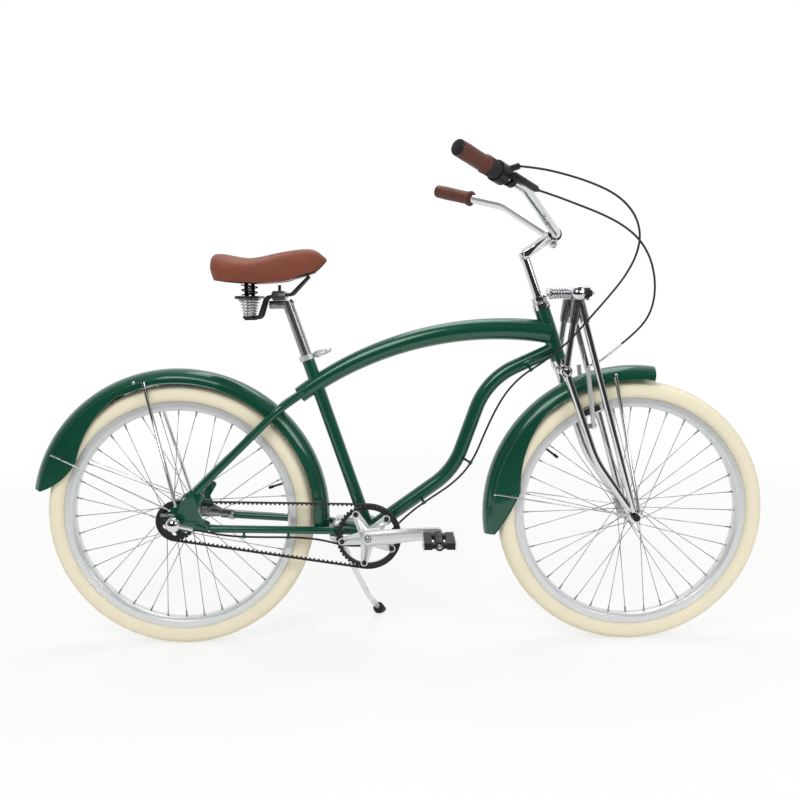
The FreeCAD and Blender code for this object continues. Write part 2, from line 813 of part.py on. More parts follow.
def build_frame():
    """Welded tubes, each cut to the shape of the tube that it meets."""
    head = cylinder(head_top, head_bottom, head_tube_radius)
    add("head_tube", tube(head_top, head_bottom, head_tube_radius, head_tube_radius - head_tube_wall))
    shell_half = Vec(0, bottom_bracket_width / 2, 0)
    shell = cylinder(bottom_bracket - shell_half, bottom_bracket + shell_half, bottom_bracket_radius)
    add("bottom_bracket_shell", tube(bottom_bracket - shell_half, bottom_bracket + shell_half,
                                     bottom_bracket_radius, bottom_bracket_radius - bottom_bracket_wall))
    seat = cylinder(bottom_bracket, seat_top, seat_tube_radius)
    post_bore = seat_post_radius + running_gap
    add("seat_tube", tube(bottom_bracket, seat_top, seat_tube_radius, post_bore).cut(shell))

    arch = top_tube_sweep(top_tube_front_radius, top_tube_rear_radius).cut(head).cut(seat)
    hollow = top_tube_sweep(top_tube_front_radius - frame_wall, top_tube_rear_radius - frame_wall)
    arch = max(arch.Solids, key=lambda s: s.Volume)
    rear = side(top_tube_rear_reach, top_tube_rear_height)
    ahead = unit(side(top_tube_crown_reach, top_tube_crown_height) - rear) * frame_wall
    cap = cylinder(rear, rear + ahead, top_tube_rear_radius).common(arch)
    add("top_tube", arch.cut(hollow).fuse(cap).removeSplitter())

    lower = [on_head_axis(down_tube_head_distance), side(down_tube_upper_reach, down_tube_upper_height),
             side(down_tube_lower_reach, down_tube_lower_height), bottom_bracket]
    bends = [min(down_tube_bend, most) for most in route_radii(lower, down_tube_bend_share)]
    down = bent_bar(lower, bends, down_tube_radius).cut(head).cut(shell).cut(seat).cut(arch)
    add("down_tube", down.cut(bent_bar(lower, bends, down_tube_radius - frame_wall)))

    plate = dropout_plate()
    root = side(seat_stay_root_reach, seat_stay_root_height, seat_stay_root_offset)
    knee = side(seat_stay_knee_reach, seat_stay_knee_height, seat_stay_knee_offset)
    foot = side(seat_stay_end_reach, seat_stay_end_height, dropout_offset)
    line = [root, knee, foot]
    bend = [seat_stay_bend]
    outer = bent_bar(line, bend, stay_radius)
    bore = bent_bar(line, bend, stay_radius - stay_wall)
    stay = outer.cut(bore).cut(arch).cut(plate)
    add("seat_stays", *both_sides(max(stay.Solids, key=lambda s: s.Volume)))

    add("dropouts", *both_sides(plate))
    end = side(chain_stay_end_reach, chain_stay_end_height, dropout_offset)
    knee = side(chain_stay_knee_reach, chain_stay_knee_height, chain_stay_knee_offset)
    root = Vec(bottom_bracket.x, chain_stay_root_offset, bottom_bracket.z)
    line = [end, knee, root]
    bend = [chain_stay_bend]
    stay = bent_tube(line, bend, chain_stay_radius, chain_stay_radius - stay_wall).cut(shell).cut(plate)
    solid_stay = bent_bar(line, bend, chain_stay_radius)
    height = chain_stay_knee_height
    reach = Vec(0, chain_stay_knee_offset, 0)
    middle = side(bridge_reach, height)
    bridge = cylinder(middle - reach, middle + reach, bridge_radius)
    bridge = bridge.cut(whole(both_sides(solid_stay)))
    bridge = max(bridge.Solids, key=lambda s: s.Volume)
    add("chain_stays", *both_sides(stay), bridge)


def dropout_plate():
    """A flat rear end with a slot for the axle that opens backwards."""
    inner = dropout_offset - dropout_thickness / 2
    points = [side(dropout_reach * along, wheel_radius + dropout_height * up, inner)
              for along, up in dropout_outline_shares]
    plate = polygon_face(points).extrude(Vec(0, dropout_thickness, 0))
    plate = plate.makeFillet(dropout_round, [e for e in plate.Edges if runs_along(e, Vec(0, 1, 0))])
    bore = axle_radius + running_gap
    through = Vec(0, dropout_thickness + 2 * overrun, 0)
    start = Vec(rear_axle.x, inner - overrun, rear_axle.z)
    hole = cylinder(start, start + through, bore)
    low = start - Vec(dropout_slot_reach, 0, bore)
    slot = Part.makeBox(dropout_slot_reach, through.y, 2 * bore, low)
    return plate.cut(hole.fuse(slot))


def build_bearings():
    """Headset cups at both ends of the head tube and bearing cups in the bottom bracket."""
    bore = steerer_radius + running_gap
    upper = tube(on_head_axis(-headset_cup_height), head_top, headset_cup_radius, bore)
    lower = tube(head_bottom, head_bottom + head_down * headset_cup_height, headset_cup_radius, bore)
    outer = bottom_bracket_radius - bottom_bracket_wall
    start = Vec(0, bottom_bracket_width / 2 - bearing_length, 0)
    end = Vec(0, bottom_bracket_width / 2, 0)
    lip = Vec(0, bottom_bracket_width / 2 + bearing_lip, 0)
    bearing = cylinder(bottom_bracket + start, bottom_bracket + end, outer)
    bearing = bearing.fuse(cylinder(bottom_bracket + end, bottom_bracket + lip, bottom_bracket_radius))
    through = cylinder(bottom_bracket, bottom_bracket + lip * 2, spindle_radius + running_gap)
    bearing = bearing.cut(through)
    add("frame_bearings", upper, lower, *both_sides(bearing))


# Mudguards

def guard_crown(centre, first_angle, last_angle):
    """The arched top of a mudguard."""
    half = guard_half_width
    t = guard_thickness

    def arch(edge_half, crown):
        left = Vec(centre.x + guard_edge_radius, -edge_half, centre.z)
        right = Vec(left.x, edge_half, centre.z)
        return Part.Arc(left, Vec(centre.x + crown, 0, centre.z), right).toShape(), left, right

    outer, a, b = arch(half, guard_crown_radius)
    inner, c, d = arch(half - t, guard_crown_radius - t)
    lips = [Part.LineSegment(b, d).toShape(), Part.LineSegment(c, a).toShape()]
    section = Part.Face(Part.Wire([outer, lips[0], inner, lips[1]]))
    return turned(section, centre, first_angle, last_angle)


def guard_skirt(centre, angles, tail_angle):
    """A flat side panel that deepens towards the mudguard's tail; on the right side."""
    start, middle, deep, heel = angles
    y = guard_half_width - guard_thickness
    top = guard_edge_radius

    def at(radius, angle):
        return polar(centre, radius, angle, y)

    edges = [Part.Arc(at(top, start), at(top, (start + tail_angle) / 2), at(top, tail_angle)).toShape(),
             Part.Arc(at(top, tail_angle), at(skirt_heel_radius, heel), at(skirt_deep_radius, deep)).toShape(),
             Part.Arc(at(skirt_deep_radius, deep), at(skirt_middle_radius, middle), at(top, start)).toShape()]
    return Part.Face(Part.Wire(edges)).extrude(Vec(0, guard_thickness, 0))


def guard(centre, first_angle, tail_angle, skirt_angles):
    """A whole mudguard: arched crown with a skirt on each side."""
    crown = guard_crown(centre, first_angle, tail_angle)
    skirt = guard_skirt(centre, skirt_angles, tail_angle)
    return crown.fuse(both_sides(skirt)).removeSplitter()


def strut(root, seat_offset, centre, angle, radius, guard_body):
    """A straight stay on the left side, screwed to a seat at its root and to the mudguard's edge."""
    tip_offset = guard_half_width + radius + seat_gap
    tip = polar(centre, guard_edge_radius, angle, tip_offset)
    bar = cylinder(root, tip, radius)
    screw = cylinder(tip + Vec(0, radius, 0), tip - Vec(0, radius + strut_screw_reach, 0), strut_screw_radius)
    head = cylinder(root + Vec(0, radius, 0), Vec(root.x, seat_offset, root.z), strut_screw_radius)
    return bar.fuse([screw, head]).cut(guard_body)


def build_mudguards():
    """Mudguards and their chromed stays."""
    rear_guard = guard(rear_axle, rear_guard_front_angle, rear_guard_tail_angle, rear_skirt_angles)
    front_guard = guard(front_axle, front_guard_nose_angle, front_guard_tail_angle, front_skirt_angles)
    add("rear_mudguard", rear_guard)
    add("front_mudguard", front_guard)
    outer = dropout_offset + dropout_thickness / 2
    root = side(rear_strut_reach, rear_strut_height, outer + seat_gap + strut_radius)
    wire_root = side(rear_wire_reach, rear_wire_height, outer + seat_gap + wire_radius)
    rear = [strut(root, outer, rear_axle, rear_strut_angle, strut_radius, rear_guard),
            strut(wire_root, outer, rear_axle, rear_wire_angle, wire_radius, rear_guard)]
    add("rear_mudguard_stays", *[s for one in rear for s in both_sides(one)])
    outer = leg_offset + fork_end_thickness / 2
    beside_rod = leg_offset + leg_tube_radius + seat_gap + strut_radius
    root = polar(front_axle, front_strut_root, front_strut_root_angle, beside_rod)
    wire_root = polar(front_axle, front_strut_root, front_wire_root_angle, outer + seat_gap + wire_radius)
    front = [strut(root, outer, front_axle, front_strut_angle, strut_radius, front_guard),
             strut(wire_root, outer, front_axle, front_wire_angle, wire_radius, front_guard)]
    add("front_mudguard_stays", *[s for one in front for s in both_sides(one)])


# Belt drive

def belt_frame():
    """The belt's lean, its two pitch radii and the direction from the rear axle to the bottom bracket."""
    big = front_teeth * belt_pitch / (2 * math.pi)
    small = rear_teeth * belt_pitch / (2 * math.pi)
    lean = math.asin((big - small) / belt_distance)
    away = bottom_bracket - rear_axle
    tilt = math.atan2(away.z, away.x)
    return big, small, lean, tilt


def belt_place(travel, depth, y):
    """A point of the belt, a distance along its pitch line from where the top run leaves the rear sprocket,
    and a depth inside that line."""
    big, small, lean, tilt = belt_frame()
    run = belt_distance * math.cos(lean)
    front_arc = big * (math.pi + 2 * lean)
    rear_arc = small * (math.pi - 2 * lean)
    travel = travel % (2 * run + front_arc + rear_arc)
    top = tilt + math.pi / 2 + lean
    bottom = tilt - math.pi / 2 - lean

    def round_axle(axle, radius, angle):
        return Vec(axle.x + (radius - depth) * math.cos(angle), y, axle.z + (radius - depth) * math.sin(angle))

    if travel <= run:
        start = round_axle(rear_axle, small, top)
        end = round_axle(bottom_bracket, big, top)
        return start + (end - start) * (travel / run)
    travel = travel - run
    if travel <= front_arc:
        return round_axle(bottom_bracket, big, top - travel / big)
    travel = travel - front_arc
    if travel <= run:
        start = round_axle(bottom_bracket, big, bottom)
        end = round_axle(rear_axle, small, bottom)
        return start + (end - start) * (travel / run)
    travel = travel - run
    return round_axle(rear_axle, small, bottom - travel / small)


def drive_belt():
    """A closed toothed belt: a smooth back and teeth that point inwards, one every pitch."""
    y = belt_line_offset - belt_width / 2
    inner = []
    for k in range(belt_tooth_count):
        middle = k * belt_pitch
        deep = belt_land + belt_tooth_height
        for shift, depth in ((-belt_tooth_root / 2, belt_land), (-belt_tooth_tip / 2, deep),
                             (belt_tooth_tip / 2, deep), (belt_tooth_root / 2, belt_land)):
            inner.append(belt_place(middle + shift, depth, y))
    outer = [belt_place(k * belt_pitch, -belt_back, y) for k in range(belt_tooth_count)]
    band = polygon_face(outer).cut(polygon_face(inner))
    return band.Faces[0].extrude(Vec(0, belt_width, 0))


def sprocket_face(axle, teeth, first_angle, y):
    """A toothed disc whose gaps clear the belt's teeth by the tooth play."""
    pitch_radius = teeth * belt_pitch / (2 * math.pi)
    tip = pitch_radius - belt_land - belt_tooth_play
    root = tip - belt_tooth_height - belt_tooth_play
    wide = belt_tooth_root / 2 + belt_tooth_play
    narrow = belt_tooth_tip / 2 + belt_tooth_play
    points = []
    for k in range(teeth):
        middle = first_angle - k * 2 * math.pi / teeth
        for shift, radius in ((-wide, tip), (-narrow, root), (narrow, root), (wide, tip)):
            angle = middle - shift / radius
            points.append(Vec(axle.x + radius * math.cos(angle), y, axle.z + radius * math.sin(angle)))
    return polygon_face(points)


def build_drive():
    """Belt and both sprockets, in mesh, with the five-armed crank and the bolts of the front sprocket."""
    big, small, lean, tilt = belt_frame()
    run = belt_distance * math.cos(lean)
    top = tilt + math.pi / 2 + lean
    inner = belt_line_offset - sprocket_thickness / 2
    thick = Vec(0, sprocket_thickness, 0)
    add("drive_belt", drive_belt())

    toothed = sprocket_face(bottom_bracket, front_teeth, top + run / big, inner).extrude(thick)
    base = Vec(bottom_bracket.x, inner, bottom_bracket.z)
    hollow = cylinder(base - Vec(0, overrun, 0), base + thick + Vec(0, overrun, 0), front_sprocket_bore)
    tabs = []
    bolts = []
    holes = []
    outer_face = inner - spider_thickness
    for k in range(spider_arms):
        angle = spider_first_angle + crank_angle + 360.0 * k / spider_arms
        at = polar(bottom_bracket, spider_circle, angle, inner)
        tabs.append(cylinder(at, at + thick, spider_tab_radius))
        head = polar(bottom_bracket, spider_circle, angle, outer_face)
        bolt = cylinder(head, at + thick, sprocket_bolt_radius)
        cap = cylinder(head - Vec(0, sprocket_bolt_head_height, 0), head, sprocket_bolt_head)
        bolts.append(bolt.fuse(cap))
        holes.append(cylinder(head - Vec(0, overrun, 0), at + thick + Vec(0, overrun, 0), sprocket_bolt_radius))
    add("front_sprocket", toothed.cut(hollow).fuse(tabs).cut(whole(holes)), *bolts)

    toothed = sprocket_face(rear_axle, rear_teeth, top, inner).extrude(thick)
    base = Vec(rear_axle.x, inner, rear_axle.z)
    boss_end = base + thick - Vec(0, sprocket_thickness - driver_length, 0)
    body = toothed.fuse(cylinder(base, boss_end, rear_sprocket_hub_radius))
    windows = []
    for k in range(rear_window_count):
        at = polar(rear_axle, rear_window_circle, 360.0 * k / rear_window_count, inner)
        windows.append(cylinder(at - Vec(0, overrun, 0), at + thick * 2, rear_window_radius))
    bore = cylinder(base - Vec(0, overrun, 0), boss_end + Vec(0, overrun, 0), axle_radius + running_gap)
    add("rear_sprocket", body.cut(whole(windows)).cut(bore))
    build_cranks(outer_face, holes)


# Cranks and pedals

def crank_arm(inner, way):
    """A tapered arm from the spindle to the pedal eye; way is 1 forward and -1 back, inner its near face."""
    start = Vec(bottom_bracket.x, inner, bottom_bracket.z)
    eye = start + Vec(way * crank_length, 0, 0)
    outward = -1 if inner < 0 else 1
    reach = Vec(0, outward * crank_thickness, 0)
    arm = link_face(start, crank_boss_radius, eye, crank_eye_radius).extrude(reach)
    slack = Vec(0, outward * overrun, 0)
    eye_hole = cylinder(eye - slack, eye + reach + slack, pedal_axle_radius + running_gap)
    boss_hole = cylinder(start - slack, start + reach + slack, spindle_radius + running_gap)
    return arm.cut(eye_hole).cut(boss_hole)


def pedal_eye(way, flank):
    """The middle of a pedal eye on the crank's outer face."""
    offset = flank * (crank_inner_offset + crank_thickness)
    return Vec(bottom_bracket.x + way * crank_length, offset, bottom_bracket.z)


def crank_turned(shape):
    """A shape turned with the cranks to their place at rest."""
    turned_shape = shape.copy()
    turned_shape.rotate(bottom_bracket, Vec(0, -1, 0), crank_angle)
    return turned_shape


def build_cranks(spider_face, bolt_holes):
    """Spindle, two crank arms, the spider and two pedals."""
    half = Vec(0, spindle_half, 0)
    spindle = cylinder(bottom_bracket - half, bottom_bracket + half, spindle_radius)
    inner = -crank_inner_offset
    right = crank_turned(crank_arm(inner, 1))
    centre = Vec(bottom_bracket.x, spider_face, bottom_bracket.z)
    depth = Vec(0, spider_thickness, 0)
    arms = []
    for k in range(spider_arms):
        angle = spider_first_angle + crank_angle + 360.0 * k / spider_arms
        tip = polar(bottom_bracket, spider_circle, angle, spider_face)
        arms.append(link_face(centre, crank_boss_radius, tip, spider_tab_radius).extrude(depth))
    spider = arms[0].fuse(arms[1:])
    spider = spider.cut(cylinder(centre - depth, centre + depth * 2, spindle_radius + running_gap))
    spider = spider.cut(whole(bolt_holes))
    add("right_crank", right.fuse(spider).removeSplitter())
    add("left_crank", crank_turned(crank_arm(crank_inner_offset, -1)))
    axles = [spindle]
    for way, flank, name in ((1, -1, "right_pedal"), (-1, 1, "left_pedal")):
        eye = pedal_eye(way, flank)
        out = Vec(0, flank, 0)
        start = eye - out * crank_thickness
        axles.append(crank_turned(cylinder(start, eye + out * pedal_axle_length, pedal_axle_radius)))
        add(name, *pedal(eye, out))
    add("crank_axles", *axles)


def pedal(eye, out):
    """A platform pedal: a core on the axle, a block in front and behind, and two cage plates."""
    centre = crank_turned(Part.Vertex(eye)).Point
    begin = centre + out * pedal_start
    end = begin + out * pedal_width
    core = cylinder(begin, end, pedal_core_radius)
    low = min(begin.y, end.y)
    blocks = []
    for way in (-1, 1):
        x = centre.x + way * (pedal_length / 2 - pedal_block / 2) - pedal_block / 2
        corner = Vec(x, low, centre.z - pedal_height / 2 + pedal_tooth)
        blocks.append(Part.makeBox(pedal_block, pedal_width, pedal_height - 2 * pedal_tooth, corner))
    end_plates = []
    for y in (low, low + pedal_width - pedal_block):
        corner = Vec(centre.x - pedal_length / 2, y, centre.z - pedal_core_radius / 2)
        end_plates.append(Part.makeBox(pedal_length, pedal_block, pedal_core_radius, corner))
    body = core.fuse(blocks + end_plates)
    body = body.cut(cylinder(begin - out * overrun, end + out * overrun, pedal_axle_radius + running_gap))
    cages = []
    for way in (-1, 1):
        x = centre.x + way * pedal_length / 2 - (pedal_cage if way < 0 else 0)
        cages.append(cage_plate(Vec(x, low, centre.z)))
    return [body.removeSplitter()] + cages


def cage_plate(start):
    """A pedal's cage plate with a row of teeth along its top and bottom edges."""
    pitch = pedal_width / pedal_tooth_count
    high = pedal_height / 2
    top = []
    for k in range(pedal_tooth_count):
        foot = start + Vec(0, pitch * k, high - pedal_tooth)
        top = top + [foot, foot + Vec(0, pitch / 4, pedal_tooth), foot + Vec(0, pitch * 3 / 4, pedal_tooth)]
    top.append(start + Vec(0, pedal_width, high - pedal_tooth))
    bottom = [Vec(p.x, p.y, 2 * start.z - p.z) for p in reversed(top)]
    return polygon_face(top + bottom).extrude(Vec(pedal_cage, 0, 0))


# Rear axle and fittings

def build_rear_fittings():
    """Rear axle and nuts, slot adjusters, the shift bell and the coaster brake's arm and clip."""
    outer = dropout_offset + dropout_thickness / 2
    half = Vec(0, outer + axle_nut_length, 0)
    axle = cylinder(rear_axle - half, rear_axle + half, axle_radius)
    nut_start = rear_axle + Vec(0, outer, 0)
    nut = cylinder(nut_start, rear_axle + half, axle_nut_radius)
    nut = nut.cut(cylinder(nut_start - Vec(0, overrun, 0), rear_axle + half * 2, axle_radius + running_gap))
    spacer_start = rear_axle + Vec(0, rear_hub_half + seat_gap, 0)
    left_inner = dropout_offset - dropout_thickness / 2
    spacer = tube(spacer_start, rear_axle + Vec(0, left_inner, 0), axle_nut_radius, axle_radius + running_gap)
    adjuster_height = wheel_radius + adjuster_rise
    screw_start = side(-adjuster_length / 2 - dropout_reach / 5, adjuster_height, outer + adjuster_radius)
    screw = cylinder(screw_start, screw_start + Vec(adjuster_length, 0, 0), adjuster_radius)
    add("rear_axle", axle, *both_sides(nut), spacer, *both_sides(screw))

    bell_start = side(0, wheel_radius, -outer - axle_nut_length)
    dome_centre = bell_start - Vec(0, bell_length - bell_radius, 0)
    dome = cylinder(bell_start, dome_centre, bell_radius).fuse(Part.makeSphere(bell_radius, dome_centre))
    dome = dome.common(cylinder(bell_start, bell_start - Vec(0, bell_length * 2, 0), bell_radius))
    spout_end = route_points(shift_route_shares)[-1]
    spout = cylinder(Vec(rear_axle.x, spout_end.y, rear_axle.z), spout_end, bell_spout_radius)
    add("shift_bell", dome.fuse(spout).removeSplitter())

    arm_face_offset = coaster_arm_offset
    start = side(0, wheel_radius, arm_face_offset)
    stay_at = chain_stay_point(coaster_arm_length)
    end = Vec(stay_at.x, arm_face_offset, stay_at.z + chain_stay_radius)
    arm = link_face(start, coaster_arm_width, end, coaster_arm_width / 2)
    arm = arm.extrude(Vec(0, coaster_arm_thickness, 0))
    arm = arm.cut(cylinder(start - Vec(0, overrun, 0), start + Vec(0, coaster_arm_thickness * 2, 0),
                           axle_nut_radius + seat_gap))
    along = chain_stay_direction() * (coaster_clip_width / 2)
    clip = tube(stay_at - along, stay_at + along, coaster_clip_radius, chain_stay_radius + running_gap)
    room = cylinder(stay_at - along * 4, stay_at + along * 4, coaster_clip_radius)
    add("coaster_brake_arm", arm.cut(room), clip)


def chain_stay_direction():
    """The way that the left chain stay runs forward from the dropout."""
    end = side(chain_stay_end_reach, chain_stay_end_height, dropout_offset)
    knee = side(chain_stay_knee_reach, chain_stay_knee_height, chain_stay_knee_offset)
    return unit(knee - end)


def chain_stay_point(reach):
    """A point on the left chain stay's middle line at a reach."""
    end = side(chain_stay_end_reach, chain_stay_end_height, dropout_offset)
    way = chain_stay_direction()
    return end + way * ((reach - chain_stay_end_reach) / way.x)


# Seat post and saddle

def build_seat():
    """Post, its clamp, the collar with its lever, and the sprung saddle."""
    bottom = seat_top - seat_up * seat_post_insert
    top = seat_top + seat_up * (seat_post_rise / seat_up.z)
    post = tube(bottom, top, seat_post_radius, seat_post_radius - seat_post_wall)
    back = top - Vec(post_head_length, 0, 0)
    head = cylinder(top + Vec(seat_post_radius, 0, 0), back, post_head_radius)
    cap = cylinder(top - seat_up * post_head_radius, top + seat_up * post_head_radius, seat_post_radius)
    post_body = post.fuse([head, cap]).removeSplitter()

    rail = rail_line()
    at = clamp_middle(rail)
    span = 2 * rail_offset + 4 * rail_radius
    corner = at - Vec(clamp_length / 2, span / 2, 0)
    block = Part.makeBox(clamp_length, span, clamp_plate, corner + Vec(0, 0, seat_gap / 2))
    lower = Part.makeBox(clamp_length, span, clamp_plate, corner - Vec(0, 0, clamp_plate + seat_gap / 2))
    barrel = cylinder(at - Vec(0, span / 2, 0), at + Vec(0, span / 2, 0), clamp_length / 2)
    bolt_top = saddle_base_height - pan_thickness - 5 * pan_gap - clamp_bolt_room
    bolt = cylinder(at - Vec(0, 0, clamp_bolt_tail), Vec(at.x, at.y, bolt_top), clamp_bolt_radius)
    cup_foot = side(saddle_spring_reach, rail_tail_height, saddle_spring_offset)
    cup = cylinder(cup_foot, cup_foot + Vec(0, 0, rail_radius + spring_cup), spring_cup_radius)
    left = bent_bar(rail, [rail_bend] * (len(rail) - 2), rail_radius).fuse(cup)
    nose = side(rail_nose_reach, rail_nose_height)
    nose_pin = cylinder(nose - Vec(0, rail_pin_half, 0), nose + Vec(0, rail_pin_half, 0), rail_radius)
    rails = left.fuse([mirrored(left), nose_pin]).removeSplitter()
    jaws = barrel.common(whole([block, lower])).cut(rails)
    jaws = jaws.cut(bolt).cut(post_body)
    bolt = bolt.cut(post_body)
    add("seat_post", post_body, *jaws.Solids, *bolt.Solids)
    add("saddle_rails", rails)
    build_collar()
    build_saddle()


def rail_line():
    """The left saddle rail from under the nose through the clamp to the foot of its spring."""
    return [side(rail_nose_reach, rail_nose_height, rail_nose_offset),
            side(post_head_reach + rail_mid_lead, post_head_height + rail_mid_rise, rail_offset),
            side(post_head_reach - rail_back_setback, post_head_height + rail_back_rise, rail_offset),
            side(post_head_reach - rail_drop_setback, rail_tail_height, rail_drop_offset),
            side(post_head_reach - rail_tail_setback, rail_tail_height, saddle_spring_offset)]


def flipped(points):
    """Points on the other side of the middle plane."""
    return [Vec(p.x, -p.y, p.z) for p in points]


def clamp_middle(rail):
    """The middle of the saddle clamp, between the two rails."""
    middle = (rail[1] + rail[2]) * 0.5
    return Vec(middle.x, 0, middle.z)


def build_collar():
    """A split collar round the seat tube's top and its cam lever."""
    low = seat_top - seat_up * (collar_height - collar_drop)
    high = seat_top + seat_up * collar_drop
    outer = cylinder(low, high, collar_radius)
    forward = unit(Vec(0, 1, 0).cross(seat_up))
    middle = (low + high) * 0.5
    ahead = middle + forward * collar_pin_reach
    lug_step = Vec(0, collar_lug, 0)
    lug = link_face(middle - lug_step, collar_height / 2, ahead - lug_step, collar_lug_radius)
    lug = lug.extrude(lug_step * 2)
    body = outer.fuse(lug)
    tube_hole = cylinder(low - seat_up * overrun, seat_top, seat_tube_radius + running_gap)
    post_hole = cylinder(low - seat_up * overrun, high + seat_up * overrun, seat_post_radius + seat_gap)
    reach = collar_pin_reach * 2
    foot = low - seat_up * overrun - Vec(0, collar_gap / 2, 0)
    brow = high + seat_up * overrun - Vec(0, collar_gap / 2, 0)
    gap_face = polygon_face([foot + forward * seat_post_radius, brow + forward * seat_post_radius,
                             brow + forward * reach, foot + forward * reach])
    gap = gap_face.extrude(Vec(0, collar_gap, 0))
    pin_far = ahead + Vec(0, collar_lug + seat_gap, 0)
    pin_near = ahead - Vec(0, collar_lug + seat_gap, 0)
    pin_hole = cylinder(pin_near, pin_far, lever_pin_radius + running_gap)
    add("seat_collar", *body.cut(tube_hole).cut(post_hole).cut(gap).cut(pin_hole).Solids)
    tail = pin_near - Vec(0, collar_lever_width, 0)
    pin = cylinder(tail, pin_far, lever_pin_radius)
    grip_end = pin_near + forward * collar_lever_length
    blade = link_face(pin_near, collar_lever_width, grip_end, collar_lever_width * lever_taper_share)
    blade = blade.extrude(Vec(0, -collar_lever_thickness, 0))
    add("seat_collar_lever", blade.fuse(pin).removeSplitter())


def saddle_section(station, width, top, bottom):
    """One cross-section of the saddle: a flat base, sides drawn in below the belly and a crowned top."""
    x = saddle_rear_reach + saddle_length * station
    half = saddle_half_width * width
    low = saddle_base_height + saddle_depth * bottom
    high = saddle_base_height + saddle_depth * top
    deep = high - low
    foot = half * saddle_edge_share
    belly_height = low + deep * saddle_belly_share
    shoulder_height = low + deep * saddle_shoulder_share
    left = [side(x, low, foot), side(x, belly_height, half), side(x, shoulder_height, foot)]
    right = flipped(left)
    return Part.Wire([Part.LineSegment(right[0], left[0]).toShape(),
                      Part.Arc(left[0], left[1], left[2]).toShape(),
                      Part.Arc(left[2], side(x, high), right[2]).toShape(),
                      Part.Arc(right[2], right[1], right[0]).toShape()])


def build_saddle():
    """Cushion, pan with its cross plate and upper coils, and the two conical springs."""
    rows = list(zip(saddle_station_shares, saddle_width_shares, saddle_top_shares, saddle_bottom_shares))
    cushion = Part.makeLoft([saddle_section(*row) for row in rows], True, False)
    add("saddle_cover", cushion)
    add("saddle_pan", *saddle_pan(rows))
    foot_height = rail_tail_height + rail_radius + spring_cup + seat_gap + saddle_spring_wire
    foot = side(saddle_spring_reach, foot_height, saddle_spring_offset)
    height = saddle_spring_top_height - saddle_spring_wire - foot.z - seat_gap
    spring, gap = coil(foot, Vec(0, 0, 1), saddle_spring_narrow, saddle_spring_wide, height,
                       saddle_spring_turns, saddle_spring_wire)
    print("saddle spring's least gap to itself:", round(gap, 2))
    add("saddle_springs", *both_sides(spring))


def saddle_pan(rows):
    """The stiff pan under the cushion, with the cross plate that the springs push on."""
    half = saddle_half_width * pan_width_share
    rear = saddle_rear_reach + saddle_length * rows[1][0]
    front = saddle_rear_reach + saddle_length * rows[6][0]
    heights = [saddle_base_height + saddle_depth * rows[k][3] - pan_gap for k in (1, 3, 6)]
    middle = saddle_rear_reach + saddle_length * rows[3][0]

    def line(drop):
        return [side(rear, heights[0] - drop, -half), side(middle, heights[1] - drop, -half),
                side(front, heights[2] - drop, -half)]

    low = line(pan_thickness + 4 * pan_gap)
    high = line(4 * pan_gap)
    edges = [Part.Arc(*high).toShape(), Part.LineSegment(high[2], low[2]).toShape(),
             Part.Arc(*reversed(low)).toShape(), Part.LineSegment(low[0], high[0]).toShape()]
    profile = Part.Face(Part.Wire(edges))
    band = profile.extrude(Vec(0, 2 * half, 0))
    nose_half = rail_offset
    plan = [side(rear, 0, -half), side(middle, 0, -half), side(front, 0, -nose_half),
            side(front, 0, nose_half), side(middle, 0, half), side(rear, 0, half)]
    pan = band.common(polygon_face(plan).extrude(Vec(0, 0, head_top_height * 2)))
    plate_reach = saddle_spring_reach - saddle_plate_length / 2
    plate_low = side(plate_reach, saddle_spring_top_height, -saddle_plate_half)
    plate = Part.makeBox(saddle_plate_length, 2 * saddle_plate_half, saddle_plate_thickness, plate_low)
    ends = [e for e in plate.Edges if runs_along(e, Vec(0, 0, 1))]
    plate = plate.makeFillet(saddle_plate_length / 3, ends)
    parts = [pan, plate]
    foot_height = saddle_spring_top_height + saddle_plate_thickness
    pan_under = heights[1] - pan_thickness - 4 * pan_gap
    foot = side(saddle_spring_reach, foot_height + upper_coil_wire + seat_gap, saddle_spring_offset)
    rise = pan_under - foot_height - 2 * upper_coil_wire - 2 * seat_gap
    spring, gap = coil(foot, Vec(0, 0, 1), upper_coil_radius, upper_coil_radius, rise,
                       upper_coil_turns, upper_coil_wire)
    print("upper coil's least gap to itself:", round(gap, 2))
    at = side(saddle_spring_reach, foot_height, saddle_spring_offset)
    post = cylinder(at, Vec(at.x, at.y, pan_under + pan_thickness), upper_post_radius).cut(pan)
    post = min(post.Solids, key=lambda s: s.CenterOfMass.z)
    return parts + both_sides(spring) + both_sides(post)


# Springer fork and steering

